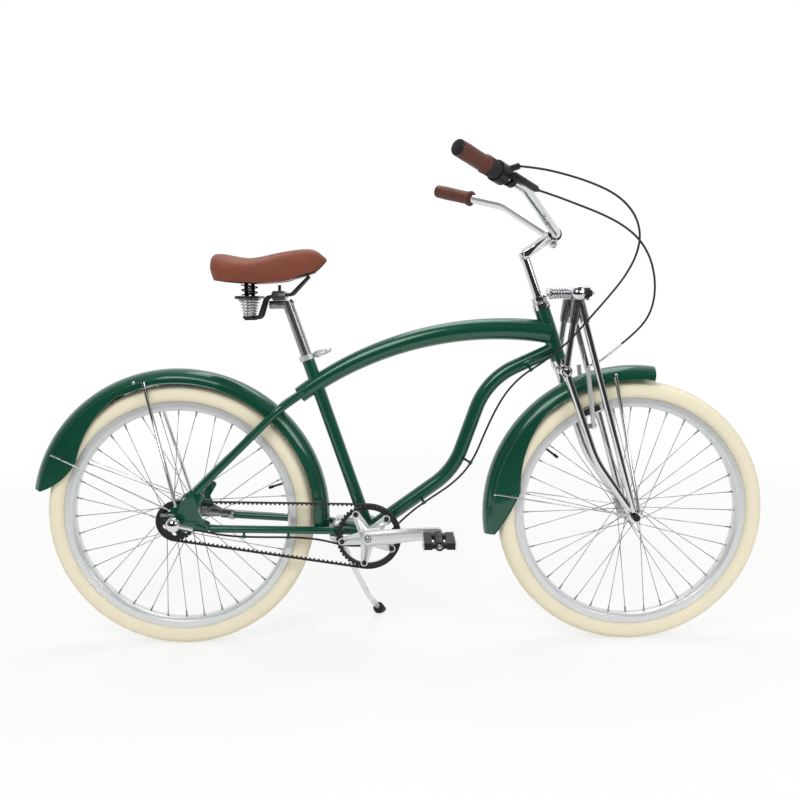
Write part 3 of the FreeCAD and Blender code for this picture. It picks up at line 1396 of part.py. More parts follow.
def build_fork():
    """Crown and steerer, swinging legs with their yoke, springs, perch, bumpers and the front axle."""
    top = on_head_axis(-headset_cup_height - headset_nut_height)
    steerer = cylinder(crown_pivot, top, steerer_radius)
    half = Vec(0, crown_half, 0)
    crown = cylinder(crown_pivot - half, crown_pivot + half, crown_tube_radius)
    lower_end = head_bottom + head_down * headset_cup_height
    neck = cylinder(crown_pivot, lower_end + head_down * seat_gap, head_tube_radius)
    bore = cylinder(crown_pivot, top - head_down * overrun, steerer_radius - steerer_wall)
    pins = Vec(0, leg_offset + pivot_boss_width / 2 + seat_gap, 0)
    pin = cylinder(crown_pivot - pins, crown_pivot + pins, pivot_pin_radius)
    cap_start = crown_pivot + pins
    cap = cylinder(cap_start, cap_start + Vec(0, pivot_cap_height, 0), pivot_cap_radius)
    nut = cylinder(on_head_axis(-headset_cup_height - seat_gap), top, headset_nut_radius)
    body = steerer.fuse([crown, neck, nut, pin] + both_sides(cap)).cut(bore.cut(whole([crown, pin])))
    add("fork_crown", body.removeSplitter())

    hub_hole = cylinder(crown_pivot, crown_pivot + pins * 2, pivot_pin_radius + running_gap)
    boss_mid = crown_pivot + Vec(0, leg_offset, 0)
    boss_half = Vec(0, pivot_boss_width / 2, 0)
    boss = cylinder(boss_mid - boss_half, boss_mid + boss_half, pivot_boss_radius)
    knee = side(head_top_reach + blade_knee_lead, blade_knee_height, leg_offset)
    foot = side(wheelbase - fork_end_setback, fork_end_height, leg_offset)
    blade = bent_tube([boss_mid, knee, foot], [blade_bend], blade_radius, blade_radius - leg_wall)
    inner = Vec(0, leg_offset - fork_end_thickness / 2, 0)
    axle_at = front_axle + inner
    foot_at = Vec(foot.x, inner.y, foot.z)
    end = link_face(axle_at, fork_end_radius, foot_at, blade_radius + leg_wall)
    end = end.extrude(Vec(0, fork_end_thickness, 0))
    end = end.cut(cylinder(axle_at - inner / 2, axle_at + inner, axle_radius + running_gap))
    top_mid = yoke + Vec(0, leg_offset, 0)
    down = unit(boss_mid - top_mid)
    sleeve_end = top_mid + down * (yoke_end_radius + leg_sleeve_length)
    upper = cylinder(top_mid + down * (yoke_end_radius + seat_gap), sleeve_end, leg_sleeve_radius)
    upper = upper.fuse(cylinder(sleeve_end, boss_mid, leg_tube_radius))
    end_half = Vec(0, yoke_end_width / 2, 0)
    yoke_end = cylinder(top_mid - end_half, top_mid + end_half, yoke_end_radius)
    leg = blade.fuse([boss, upper, end]).cut(hub_hole).cut(yoke_end)
    leg = max(leg.Solids, key=lambda s: s.Volume)
    lug = brake_lug()
    add("fork_blades", *both_sides(leg.fuse(lug)))

    yoke_half = Vec(0, leg_offset, 0)
    bar = cylinder(yoke - yoke_half, yoke + yoke_half, yoke_radius)
    slots = []
    for y in (-spring_offset, spring_offset):
        at = Vec(yoke.x, y, yoke.z)
        through = Vec(yoke_end_radius * 2, 0, 0)
        slots.append(cylinder(at - through, at + through, spring_bolt_slot))
    bar = bar.cut(whole(slots))
    rod_end = front_axle + Vec(0, leg_offset, 0)
    slant = unit(rod_end - top_mid)
    rod = cylinder(top_mid, top_mid + slant * (yoke_end_radius + leg_sleeve_length), leg_sleeve_radius)
    rod = rod.fuse(cylinder(top_mid, rod_end - slant * fork_end_radius, leg_tube_radius))
    rod = rod.cut(cylinder(top_mid + slant * yoke_end_radius, rod_end, leg_tube_radius - leg_wall)).cut(upper)
    ends = both_sides(yoke_end.fuse(rod))
    truss = bar.fuse(ends)
    add("fork_truss", truss.cut(whole(both_sides(leg.fuse(lug)))).removeSplitter())

    outer = leg_offset + fork_end_thickness / 2
    half = Vec(0, outer + axle_nut_length, 0)
    axle = cylinder(front_axle - half, front_axle + half, axle_radius)
    nut_start = front_axle + Vec(0, outer, 0)
    nut = cylinder(nut_start, nut_start + Vec(0, axle_nut_length, 0), axle_nut_radius)
    hub_end = front_axle + Vec(0, front_hub_half + seat_gap, 0)
    spacer = tube(hub_end, axle_at, axle_nut_radius, axle_radius + running_gap)
    nut = nut.cut(cylinder(front_axle, front_axle + half, axle_radius))
    add("front_axle", axle, *both_sides(nut), *both_sides(spacer))
    build_springs()


def brake_pivot():
    """The middle of the left brake arm's pivot."""
    return side(wheelbase - brake_pivot_setback, brake_pivot_height, leg_offset - blade_radius / 2)


def brake_leaned(shape):
    """A shape drawn upright at the brake's pivot, leaned back with the fork blade."""
    leaned = shape.copy()
    leaned.rotate(brake_pivot(), Vec(0, -1, 0), brake_lean)
    return leaned


def brake_lug():
    """The boss on the left fork blade that carries a brake arm, with its pin pointing forward."""
    pivot = brake_pivot()
    face = pivot - Vec(brake_arm_depth / 2 + seat_gap, 0, 0)
    boss = cylinder(pivot - Vec(brake_lug_depth, 0, 0), face, brake_lug_radius)
    pin = cylinder(face, pivot + Vec(brake_arm_depth / 2 + overrun, 0, 0), brake_pivot_radius)
    return brake_leaned(boss.fuse(pin))


def build_springs():
    """Twin springs between the perch on the steerer and the yoke, on bolts that end in rubber bumpers."""
    yoke_back = yoke.x - yoke_radius
    perch_x = yoke_back - spring_length - seat_gap
    start = Vec(perch_x + spring_wire + seat_gap, spring_offset, yoke.z)
    coil_length = spring_length - 2 * spring_wire - seat_gap
    spring, gap = coil(start, Vec(1, 0, 0), spring_radius, spring_radius, coil_length,
                       spring_turns, spring_wire)
    print("fork spring's least gap to itself:", round(gap, 2))
    add("fork_springs", *both_sides(spring))

    low = Vec(perch_x - perch_thickness, -perch_plate_half, yoke.z - perch_plate_height / 2)
    plate = Part.makeBox(perch_thickness, 2 * perch_plate_half, perch_plate_height, low)
    corners = [e for e in plate.Edges if runs_along(e, Vec(1, 0, 0))]
    plate = plate.makeFillet(perch_plate_height / 3, corners)
    ring_top = on_head_axis(-headset_cup_height - headset_nut_height - perch_collar - seat_gap)
    ring_low = on_head_axis(-headset_cup_height - headset_nut_height - seat_gap)
    collar = cylinder(ring_low, ring_top, headset_nut_radius)
    arm_start = (ring_low + ring_top) * 0.5
    arm_step = Vec(0, perch_arm_offset, 0)
    arm_end = Vec(perch_x - perch_thickness / 2, 0, yoke.z - perch_arm_drop)
    arms = [cylinder(arm_start + step, arm_end + step, perch_arm_radius) for step in (arm_step, arm_step * -1)]
    hole = cylinder(ring_low + head_down * overrun, ring_top - head_down * overrun, stem_radius + seat_gap)
    bolts = []
    front = yoke.x + yoke_radius + seat_gap
    pieces = []
    for y in (-spring_offset, spring_offset):
        at = Vec(perch_x, y, yoke.z)
        tip = front + bumper_length + bumper_washer + spring_nut_length + spring_bolt_tail
        bolts.append(cylinder(at - Vec(perch_thickness, 0, 0), Vec(tip, y, yoke.z), spring_bolt_radius))
        rubber_start = Vec(front, y, yoke.z)
        rubber_end = rubber_start + Vec(bumper_length, 0, 0)
        pieces.append(tube(rubber_start, rubber_end, bumper_radius, spring_bolt_radius + running_gap))
        nut_start = rubber_end + Vec(bumper_washer, 0, 0)
        nut_end = nut_start + Vec(spring_nut_length, 0, 0)
        pieces.append(tube(nut_start, nut_end, spring_nut_radius, spring_bolt_radius + running_gap))
    strap_half = spring_offset + bumper_washer_radius
    strap_low = Vec(front + bumper_length, -strap_half, yoke.z - bumper_washer_radius)
    strap = Part.makeBox(bumper_washer, 2 * strap_half, 2 * bumper_washer_radius, strap_low)
    corners = [e for e in strap.Edges if runs_along(e, Vec(1, 0, 0))]
    strap = strap.makeFillet(bumper_washer_radius / 2, corners)
    strap = strap.cut(whole([cylinder(b.CenterOfMass - Vec(spring_length * 2, 0, 0),
                                      b.CenterOfMass + Vec(spring_length * 2, 0, 0),
                                      spring_bolt_radius + running_gap) for b in bolts]))
    perch = plate.fuse([collar] + arms + bolts).cut(hole)
    add("spring_perch", perch.removeSplitter(), strap)
    add("spring_bumpers", *pieces)


# Stem, handlebar and controls

def bar_points():
    """The handlebar's corners from the right end to the left."""
    left = [side(bar_clamp_reach, bar_clamp_height, bar_root_offset),
            side(bar_bend_reach, bar_bend_height, bar_bend_offset),
            side(bar_end_reach, bar_end_height, bar_end_offset)]
    return list(reversed(flipped(left))) + left


def along_grip(distance, flank):
    """A point on the handlebar's middle line, a distance in from its end; flank is 1 left and -1 right."""
    end = side(bar_end_reach, bar_end_height, flank * bar_end_offset)
    bend = side(bar_bend_reach, bar_bend_height, flank * bar_bend_offset)
    return end + unit(bend - end) * distance


def build_cockpit():
    """Stem, handlebar, grips, shifter and the brake lever with its bracket."""
    corner = on_head_axis(-stem_corner_distance)
    clamp = side(bar_clamp_reach, bar_clamp_height)
    quill = cylinder(on_head_axis(stem_insert), corner, stem_radius)
    knuckle_step = head_down * stem_corner_radius
    knuckle = cylinder(corner + knuckle_step, corner - knuckle_step / 2, stem_corner_radius)
    arm = cylinder(corner, clamp, stem_corner_radius)
    half = Vec(0, stem_clamp_half, 0)
    barrel = cylinder(clamp - half, clamp + half, stem_clamp_radius)
    drop = clamp - Vec(0, 0, stem_bolt_drop)
    bolt = cylinder(drop - half * stem_bolt_share, drop + half * stem_bolt_share, stem_bolt_radius)
    lug_half = half * stem_lug_share
    lug = link_face(drop - lug_half, stem_lug_radius, clamp - lug_half, stem_bolt_radius * 2)
    lug = lug.extrude(lug_half * 2)
    bore = cylinder(clamp - half * 2, clamp + half * 2, bar_radius + running_gap)
    add("stem", quill.fuse([knuckle, arm, barrel, lug, bolt]).cut(bore).removeSplitter())

    points = bar_points()
    bends = [bar_bend, bar_root_bend, bar_root_bend, bar_bend]
    add("handlebar", bent_tube(points, bends, bar_radius, bar_radius - bar_wall))
    bore = bar_radius + running_gap

    def sleeve(start, length, radius, flank):
        return tube(along_grip(start, flank), along_grip(start + length, flank), radius, bore)

    grips = []
    for flank, length in ((1, grip_length), (-1, right_grip_length)):
        grip = sleeve(0, length, grip_radius, flank)
        flange = sleeve(length - grip_flange_length, grip_flange_length, grip_flange_radius, flank)
        cap = cylinder(along_grip(-grip_cap, flank), along_grip(0, flank), grip_radius)
        grips.append(grip.fuse([flange, cap]).removeSplitter())
    add("grips", *grips)

    start = right_grip_length + seat_gap
    add("twist_grip", twist_grip(start))
    start = start + twist_length + seat_gap
    body = cylinder(along_grip(start, -1), along_grip(start + shifter_length, -1), shifter_radius)
    spout_foot = along_grip(start + shifter_length / 2, -1)
    exit_point = route_points(shift_route_shares)[0]
    spout = cylinder(spout_foot, exit_point, shifter_spout_radius)
    hole = cylinder(along_grip(start - shifter_length, -1), along_grip(start + shifter_length * 2, -1), bore)
    add("shifter_body", body.fuse(spout).cut(hole).removeSplitter())
    build_brake_lever(bore)


def twist_grip(start):
    """The ribbed part of the shifter that the hand turns."""
    foot = along_grip(start, -1)
    along = along_grip(start + twist_length, -1) - foot
    across = unit(along.cross(Vec(0, 0, 1)))
    points = []
    count = twist_rib_count * 4
    for k in range(count):
        radius = twist_radius if k % 4 < 2 else twist_radius - twist_rib
        points.append(foot + FreeCAD.Rotation(along, 360.0 * k / count).multVec(across) * radius)
    body = polygon_face(points).extrude(along)
    slack = unit(along) * overrun
    return body.cut(cylinder(foot - slack, foot + along + slack, bar_radius + running_gap))


def lever_frame():
    """The lever's own directions: inwards along the bar, away from the bar and square to both."""
    inward = unit(along_grip(twist_length, -1) - along_grip(0, -1))
    away = unit(Vec(0, 1, 0) - inward * inward.y)
    return inward, away, inward.cross(away)


def build_brake_lever(bore):
    """Bracket with its clamp and cable barrel, and the lever blade on its pin."""
    inward, away, square = lever_frame()
    start = along_grip(lever_clamp_start, -1)
    end = along_grip(lever_clamp_start + lever_clamp_length, -1)
    middle = (start + end) * 0.5
    clamp = cylinder(start, end, lever_clamp_radius)
    tip = route_points(brake_route_shares)[0]
    stock_start = tip - inward * bracket_length
    stock = cylinder(stock_start, tip - inward * barrel_length, bracket_radius)
    nose = cylinder(tip - inward * barrel_length, tip, barrel_radius)
    at = middle - stock_start
    foot = stock_start + inward * at.dot(inward)
    bridge = cylinder(middle, foot, lever_clamp_length / 2)
    pivot = middle + away * lever_pivot_drop
    ear = cylinder(middle, pivot, lever_clamp_length / 2)
    pin_half = square * lever_pivot_half
    slot_half = square * (lever_blade_width * lever_slot_share)
    knuckle = cylinder(pivot - pin_half, pivot + pin_half, lever_clamp_length / 2)
    slot = cylinder(pivot - slot_half, pivot + slot_half, lever_clamp_length)
    pin = cylinder(pivot - pin_half, pivot + pin_half, lever_pivot_radius)
    hole = cylinder(start - inward * lever_clamp_length, end + inward * lever_clamp_length, bore)
    body = clamp.fuse([stock, nose, bridge, ear, knuckle]).cut(slot).fuse(pin).cut(hole)
    add("lever_bracket", body.removeSplitter())

    lift = square * (lever_blade_width / 2)
    eye = cylinder(pivot - lift, pivot + lift, lever_clamp_length / 2)
    reach = pivot - inward * lever_blade_length
    bow = (pivot + reach) * 0.5 + away * lever_blade_bow
    side_step = away * (lever_blade_thickness / 2)
    outline = [pivot + side_step, bow + side_step, reach + side_step,
               reach - side_step, bow - side_step, pivot - side_step]
    edges = [Part.Arc(*[p - lift for p in outline[:3]]).toShape(),
             Part.LineSegment(outline[2] - lift, outline[3] - lift).toShape(),
             Part.Arc(*[p - lift for p in outline[3:]]).toShape(),
             Part.LineSegment(outline[5] - lift, outline[0] - lift).toShape()]
    blade = Part.Face(Part.Wire(edges)).extrude(lift * 2)
    knob = cylinder(reach - lift, reach + lift, lever_blade_thickness * lever_knob_share)
    hole = cylinder(pivot - lift * 2, pivot + lift * 2, lever_pivot_radius + running_gap)
    add("brake_lever", blade.fuse([eye, knob]).cut(hole).removeSplitter())


# Brake arms

def brake_arm():
    """The left brake arm on its pivot, with the pad that meets the rim's wall."""
    pivot = brake_pivot()
    thick = Vec(brake_arm_depth, 0, 0)
    back = pivot - thick / 2
    hub_body = cylinder(back, back + thick, brake_hub_radius)
    low = Vec(back.x, brake_arm_offset - brake_arm_width / 2, pivot.z)
    arm = Part.makeBox(brake_arm_depth, brake_arm_width, brake_arm_length, low)
    hole = cylinder(back - thick, back + thick * 2, brake_pivot_radius + running_gap)
    body = brake_leaned(hub_body.fuse(arm).cut(hole).removeSplitter())
    track = (rim_shoulder_radius + rim_edge_radius) / 2
    lean = math.radians(brake_lean)
    away = Vec(pivot.x - front_axle.x, 0, pivot.z - front_axle.z)
    up = Vec(-math.sin(lean), 0, math.cos(lean))
    rise = math.sqrt(track ** 2 - away.dot(away) + away.dot(up) ** 2) - away.dot(up)
    middle = Vec(pivot.x, 0, pivot.z) + up * rise
    inner = rim_width / 2 + brake_pad_gap
    pad_outer = inner + brake_pad_thickness
    post = cylinder(middle + Vec(0, pad_outer, 0), middle + Vec(0, low.y, 0), brake_post_radius)
    aim = middle - front_axle
    tilt = math.degrees(math.atan2(aim.x, aim.z))
    corner = middle + Vec(-brake_pad_length / 2, inner, -brake_pad_height / 2)
    pad = Part.makeBox(brake_pad_length, brake_pad_thickness, brake_pad_height, corner)
    pad.rotate(middle, Vec(0, 1, 0), tilt)
    return [body, post, pad]


def build_brakes():
    """A pair of brake arms that pivot on the fork blades."""
    left = brake_arm()
    add("left_brake_arm", *left)
    add("right_brake_arm", *[mirrored(s) for s in left])


# Cables, clips and kickstand

def route_points(route):
    """A cable's points, given as shares of the head's reach, the bar bend's offset and the head's height."""
    return [side(head_top_reach * reach, head_top_height * height, bar_bend_offset * offset)
            for reach, offset, height in route]


def cable(points, radius):
    """A cable of many flats along a rounded route; prints its volume against section times length."""
    radii = route_radii(points, cable_bend_share)
    path = bent_path(points, radii)
    section = regular_wire(points[0], points[1] - points[0], radius, cable_sides)
    body = path.makePipeShell([section], True, False)
    area = cable_sides / 2 * math.sin(2 * math.pi / cable_sides) * radius ** 2
    print("cable: length", round(path.Length), "least bend", round(min(radii)), "volume ratio",
          round(body.Volume / (area * path.Length), 3))
    return body


def clip_places(tubes):
    """The shift cable's runs that a clip holds: in each stretch, the run nearest a tube."""
    points = route_points(shift_route_shares)
    places = []
    for stretch in clip_stretches:
        runs = [((points[k] + points[k + 1]) * 0.5, unit(points[k + 1] - points[k])) for k in stretch]
        places.append(min(runs, key=lambda run: tubes.distToShape(Part.Vertex(run[0]))[0]))
    return places


def build_cables():
    """Shift and brake cables, the brake's bent end tube and cross wire, and the frame's cable clips."""
    sockets = whole([nodes["shifter_body"], nodes["shift_bell"]])
    add("shift_cable", cable(route_points(shift_route_shares), cable_radius).cut(sockets))
    outer = cable(route_points(brake_route_shares), cable_radius).cut(nodes["lever_bracket"])
    noodle = cable(route_points(noodle_route_shares), noodle_radius)
    last = route_points(noodle_route_shares)[-1]
    half = brake_arm_offset - brake_arm_width / 2 - seat_gap
    wire = cylinder(Vec(last.x, -half, last.z), Vec(last.x, half, last.z), brake_wire_radius)
    add("brake_cable", outer, noodle.fuse(wire))
    clips = []
    outer = cable_radius + seat_gap + clip_wall
    tubes = whole([nodes["down_tube"], nodes["chain_stays"]])
    for at, along in clip_places(tubes):
        reach = along * (clip_length / 2)
        _, pairs, _ = tubes.distToShape(Part.Vertex(at))
        seat = pairs[0][0]
        towards = unit(seat - at)
        lug = cylinder(at, seat + towards * clip_wall, clip_lug_radius).cut(tubes)
        lug = min(lug.Solids, key=lambda s: (s.CenterOfMass - at).Length)
        body = cylinder(at - reach, at + reach, outer).fuse(lug)
        clips.append(body.cut(cylinder(at - reach * 2, at + reach * 2, cable_radius + seat_gap)))
    add("cable_clips", *clips)


def stand_frame():
    """The stand's pivot, the knee of its bent leg, its foot and the axis of its hinge."""
    pivot = side(stand_pivot_reach, stand_pivot_height, stand_pivot_offset)
    knee = side(stand_knee_reach, stand_knee_height, stand_knee_offset)
    foot = side(stand_foot_reach, 0, stand_foot_offset)
    return pivot, knee, foot, unit(Vec(*stand_pin_shares))


def build_kickstand():
    """Bracket clamped to the chain stays and the leg that swings back on its pin."""
    pivot, knee, foot, axis = stand_frame()
    down = unit(knee - pivot)
    out = unit(foot - knee)
    half = axis * (stand_head_width / 2)
    pin_start = pivot - half - axis * (seat_gap + stand_ear)
    pin = cylinder(pin_start, pivot + half + axis * seat_gap, stand_pin_radius)
    cap_start = pivot + half + axis * seat_gap
    cap = cylinder(cap_start, cap_start + axis * stand_cap, stand_cap_radius)
    plate_front = stand_pivot_reach - bracket_plate_back + bracket_plate_length
    slope = (chain_stay_knee_height - bottom_bracket.z) / (bracket_reach - chain_stay_knee_reach)
    stay_drop = slope * (plate_front - chain_stay_knee_reach)
    under = chain_stay_knee_height - stay_drop - chain_stay_radius - seat_gap
    over = chain_stay_knee_height + chain_stay_radius + seat_gap
    corner = side(stand_pivot_reach - bracket_plate_back, under - bracket_plate_height, -bracket_plate_half)
    low_plate = Part.makeBox(bracket_plate_length, 2 * bracket_plate_half, bracket_plate_height, corner)
    corner = side(bridge_reach + bridge_radius + seat_gap, over, -bracket_plate_half)
    top_plate = Part.makeBox(bracket_plate_length / 2, 2 * bracket_plate_half, bracket_plate_height / 2, corner)
    bolt_low = side(bridge_reach + bridge_radius + bracket_plate_length / 4, under - bracket_plate_height)
    bolt_length = over - under + 2 * bracket_plate_height
    bolt = cylinder(bolt_low, bolt_low + Vec(0, 0, bolt_length), bracket_bolt_radius)
    ear_end = pivot - half - axis * seat_gap
    post = cylinder(pin_start, ear_end, stand_head_radius)
    neck_foot = (pin_start + ear_end) * 0.5
    lift = unit(Vec(0, 0, 1) - axis * axis.z)
    rise = (under - bracket_plate_height / 2 - neck_foot.z) / lift.z
    neck = cylinder(neck_foot, neck_foot + lift * rise, stand_neck_radius)
    stays = nodes["chain_stays"]
    body = low_plate.fuse([post, neck, pin, cap, bolt, top_plate]).cut(stays)
    add("kickstand_bracket", body.removeSplitter())

    head = cylinder(pivot - half, pivot + half, stand_head_radius)
    sleeve = cylinder(pivot, pivot + down * stand_sleeve_length, stand_sleeve_radius)
    bar = bent_bar([pivot, knee, foot + out * stand_foot_length], [stand_bend], stand_leg_radius)
    pad = cylinder(foot - out * stand_foot_length, foot + out * stand_foot_length, stand_foot_radius)
    ground = Part.makeBox(wheelbase, wheelbase, wheelbase, Vec(foot.x - wheelbase / 2, 0, -wheelbase))
    hole = cylinder(pivot - half * 2, pivot + half * 2, stand_pin_radius + running_gap)
    cap_room = cylinder(pivot + half, pivot + half * 2 + axis * stand_cap, stand_cap_radius + seat_gap)
    ear_far = pivot - half - axis * (stand_ear + seat_gap)
    ear_room = cylinder(pivot - half, ear_far, stand_head_radius + seat_gap)
    leg = head.fuse([sleeve, bar]).cut(hole).cut(cap_room).cut(ear_room).cut(ground)
    pad = pad.cut(ground).cut(bar)
    add("kickstand_leg", leg.removeSplitter(), *pad.Solids)


for build in (build_wheels, build_frame, build_bearings, build_mudguards, build_drive, build_rear_fittings,
              build_seat, build_fork, build_cockpit, build_brakes, build_cables, build_kickstand):
    build()

os.makedirs("parts", exist_ok=True)
for name, shape in nodes.items():
    shape.exportStep("parts/" + name + ".step")
    if not shape.isValid():
        print("not valid:", name)
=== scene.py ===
"""Beach cruiser bicycle: the finish of every piece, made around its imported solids.

Lengths are metres, +X points forward, +Y to the rider's left and +Z up. A reach is measured forward from
the rear axle, a height from the ground and an offset sideways from the middle plane.
"""
import json
import math

import bmesh
import bpy
import numpy as np
from bpy.props import FloatProperty, FloatVectorProperty, IntProperty, PointerProperty
from mathutils import Matrix, Vector


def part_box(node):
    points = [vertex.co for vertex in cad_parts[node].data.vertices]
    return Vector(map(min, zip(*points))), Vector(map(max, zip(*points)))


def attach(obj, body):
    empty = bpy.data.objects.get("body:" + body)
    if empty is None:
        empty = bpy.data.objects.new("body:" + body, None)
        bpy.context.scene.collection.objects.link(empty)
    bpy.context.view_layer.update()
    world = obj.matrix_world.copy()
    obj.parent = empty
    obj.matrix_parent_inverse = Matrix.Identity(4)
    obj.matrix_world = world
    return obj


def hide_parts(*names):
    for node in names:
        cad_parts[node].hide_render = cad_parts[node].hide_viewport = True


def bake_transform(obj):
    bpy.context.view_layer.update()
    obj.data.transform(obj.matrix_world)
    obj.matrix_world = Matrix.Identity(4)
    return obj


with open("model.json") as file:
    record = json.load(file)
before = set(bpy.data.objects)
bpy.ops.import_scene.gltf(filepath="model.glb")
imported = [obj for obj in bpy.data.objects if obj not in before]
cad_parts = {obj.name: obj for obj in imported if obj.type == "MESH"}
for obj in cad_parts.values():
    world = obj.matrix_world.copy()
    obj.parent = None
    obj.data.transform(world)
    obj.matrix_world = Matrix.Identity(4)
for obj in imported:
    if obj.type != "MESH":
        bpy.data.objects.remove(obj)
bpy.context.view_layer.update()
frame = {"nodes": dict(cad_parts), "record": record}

bl_info = {
    "name": "Cruiser bicycle finish",
    "version": (1, 0, 0),
    "blender": (4, 5, 0),
    "location": "3D View > Sidebar > Cruiser",
    "description": "Dresses the solids of a beach cruiser bicycle with its surfaces and finishes",
    "category": "Object",
}

MM = 0.001
NODE_BODY = {node: body for body, nodes in frame["record"]["behaviour"]["bodies"].items() for node in nodes}


def middle(node):
    """The middle of a node's box, as an array."""
    low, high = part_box(node)
    return np.array((low + high) / 2)


def span(node):
    """The lengths of a node's box, as an array."""
    low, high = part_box(node)
    return np.array(high - low)


REAR_AXLE = middle("rear_tyre")
FRONT_AXLE = middle("front_tyre")
WHEEL_RADIUS = float(span("rear_tyre")[2] / 2)
TYRE_HALF = float(span("rear_tyre")[1] / 2)
RIM_RADIUS = float(span("rear_rim")[2] / 2)
RIM_HALF = float(span("rear_rim")[1] / 2)


def place(reach, offset, height):
    """A point from its reach, offset and height in millimetres."""
    return np.array([REAR_AXLE[0] + reach * MM, offset * MM, height * MM])


# Colours and sizes that a user would change

def linear(code):
    """An sRGB hex colour as linear red, green, blue and alpha."""
    parts = [int(code[k:k + 2], 16) / 255 for k in (0, 2, 4)]
    return [p / 12.92 if p <= 0.04045 else ((p + 0.055) / 1.055) ** 2.4 for p in parts] + [1.0]


def colour(name, description, code):
    """A colour property with its default as an sRGB hex value."""
    return FloatVectorProperty(name=name, description=description, subtype="COLOR", size=4, min=0, max=1,
                               default=linear(code))


def length(name, description, millimetres):
    """A length property with its default in millimetres."""
    return FloatProperty(name=name, description=description, default=millimetres * MM, min=0, unit="LENGTH")


class CruiserColours(bpy.types.PropertyGroup):
    paint: colour("Paint", "Green stove enamel of the frame and mudguards", "0E573F")
    paint_deep: colour("Deep paint", "The enamel where it lies thicker", "0A4836")
    tyre: colour("Tyre", "Cream rubber of the tyres", "EDE5CA")
    tyre_dust: colour("Tyre dust", "Road dust in the tread", "CDC3A8")
    leather: colour("Leather", "Brown cover of the saddle", "8C4B36")
    # Deep leather colours the grain's valleys and the slow patches of painted shade on the saddle
    leather_deep: colour("Deep leather", "The cover in its folds", "6A3525")
    grip: colour("Grip", "Brown cover of the grips", "6B3D30")
    # Deep grip colours the grain's valleys and the slow patches of painted shade on the grips
    grip_deep: colour("Deep grip", "The grips in their seams", "4A281E")
    chrome: colour("Chrome", "Plated steel", "DADCDE")
    alloy: colour("Alloy", "Polished aluminium", "DDDFE0")
    satin: colour("Satin alloy", "Brushed aluminium of the seat post", "A9ABA9")
    black: colour("Black", "Moulded plastic and painted steel", "17181A")
    rubber: colour("Rubber", "Black rubber of belt and pads", "1B1B1C")
    reflector: colour("Reflector", "Clear pedal reflectors", "D9DCD6")
    floor: colour("Floor", "Pale studio floor", "F4F4F3")


class CruiserSizes(bpy.types.PropertyGroup):
    tread_depth: length("Tread depth", "Depth of the grooves between the tread blocks", 1.3)
    tread_blocks: IntProperty(name="Tread blocks", description="Blocks round a tyre", default=150, min=20)
    nipple_radius: length("Nipple radius", "Radius of a spoke nipple", 2.2)
    nipple_length: length("Nipple length", "Length of a spoke nipple", 13.0)
    guard_bead: length("Guard bead", "Radius of the rolled edge of a mudguard", 2.0)
    rivet: length("Rivet", "Radius of a mudguard rivet's head", 4.0)
    spring_wire: length("Spring wire", "Radius of the fork springs' wire", 2.2)
    saddle_wire: length("Saddle wire", "Radius of the saddle springs' wire", 1.9)
    cable: length("Cable", "Radius of a cable's sleeve", 2.5)


# Nodes and materials

def give(tree, socket, value):
    """Link a socket to another node's output, or set its value."""
    if isinstance(value, bpy.types.NodeSocket):
        tree.links.new(value, socket)
    else:
        socket.default_value = value


def put(tree, kind, inputs=(), **settings):
    """Add one shader node, set its properties, and give each named or numbered input a value or a link."""
    added = tree.nodes.new(kind)
    for name, value in settings.items():
        setattr(added, name, value)
    for name, value in dict(inputs).items():
        give(tree, added.inputs[name], value)
    return added


def per_metre(millimetres):
    """The texture scale whose features are this many millimetres apart."""
    return 1 / (millimetres * MM)


def finish(name):
    """The material of that name, made the first time it is asked for."""
    made = bpy.data.materials.get(name)
    if made is None:
        made = bpy.data.materials.new(name)
        made.use_nodes = True
        tree = made.node_tree
        make = FINISHES[name][0]
        at = put(tree, "ShaderNodeTexCoord")
        make(tree, tree.nodes["Principled BSDF"], at.outputs, bpy.context.scene.cruiser_colours)
    return made


def set_inputs(tree, shader, **inputs):
    """Give a shader's inputs their values or links; an underscore in a name stands for a space."""
    for name, value in inputs.items():
        give(tree, shader.inputs[name.replace("_", " ")], value)


def mottled(tree, shader, at, patch, rough, grain=None, **inputs):
    """A skin whose roughness drifts between two values in patches, over a fine grain; returns the patches.

    A patch is its width in millimetres and its detail. A grain is these two, its strength and its depth.
    """
    width, detail = patch
    drift = put(tree, "ShaderNodeTexNoise", {"Vector": at["Object"], "Scale": per_metre(width),
                                             "Detail": detail})
    level = put(tree, "ShaderNodeMapRange", {"Value": drift.outputs["Fac"], "To Min": rough[0],
                                             "To Max": rough[1]})
    set_inputs(tree, shader, Roughness=level.outputs[0], **inputs)
    if grain:
        width, detail, strength, depth = grain
        fine = put(tree, "ShaderNodeTexNoise", {"Vector": at["Object"], "Scale": per_metre(width),
                                                "Detail": detail})
        bump = put(tree, "ShaderNodeBump", {"Height": fine.outputs["Fac"], "Strength": strength,
                                            "Distance": depth * MM})
        set_inputs(tree, shader, Normal=bump.outputs["Normal"])
    return drift.outputs["Fac"]


def stove_enamel(tree, shader, at, colours):
    """Green enamel with fine metal flake under lacquer: soft glow, sharp highlights, faint orange peel."""
    patch = put(tree, "ShaderNodeTexNoise", {"Vector": at["Object"], "Scale": per_metre(160), "Detail": 3.0})
    tone = put(tree, "ShaderNodeMix", {"Factor": patch.outputs["Fac"], 6: colours.paint_deep,
                                       7: colours.paint}, data_type="RGBA")
    mottled(tree, shader, at, (24, 5.0), (0.26, 0.36), (3.5, 1.0, 0.06, 0.2), Base_Color=tone.outputs[2],
            Metallic=0.3, Coat_Weight=0.8, Coat_Roughness=0.04, IOR=1.5, Specular_IOR_Level=0.3)


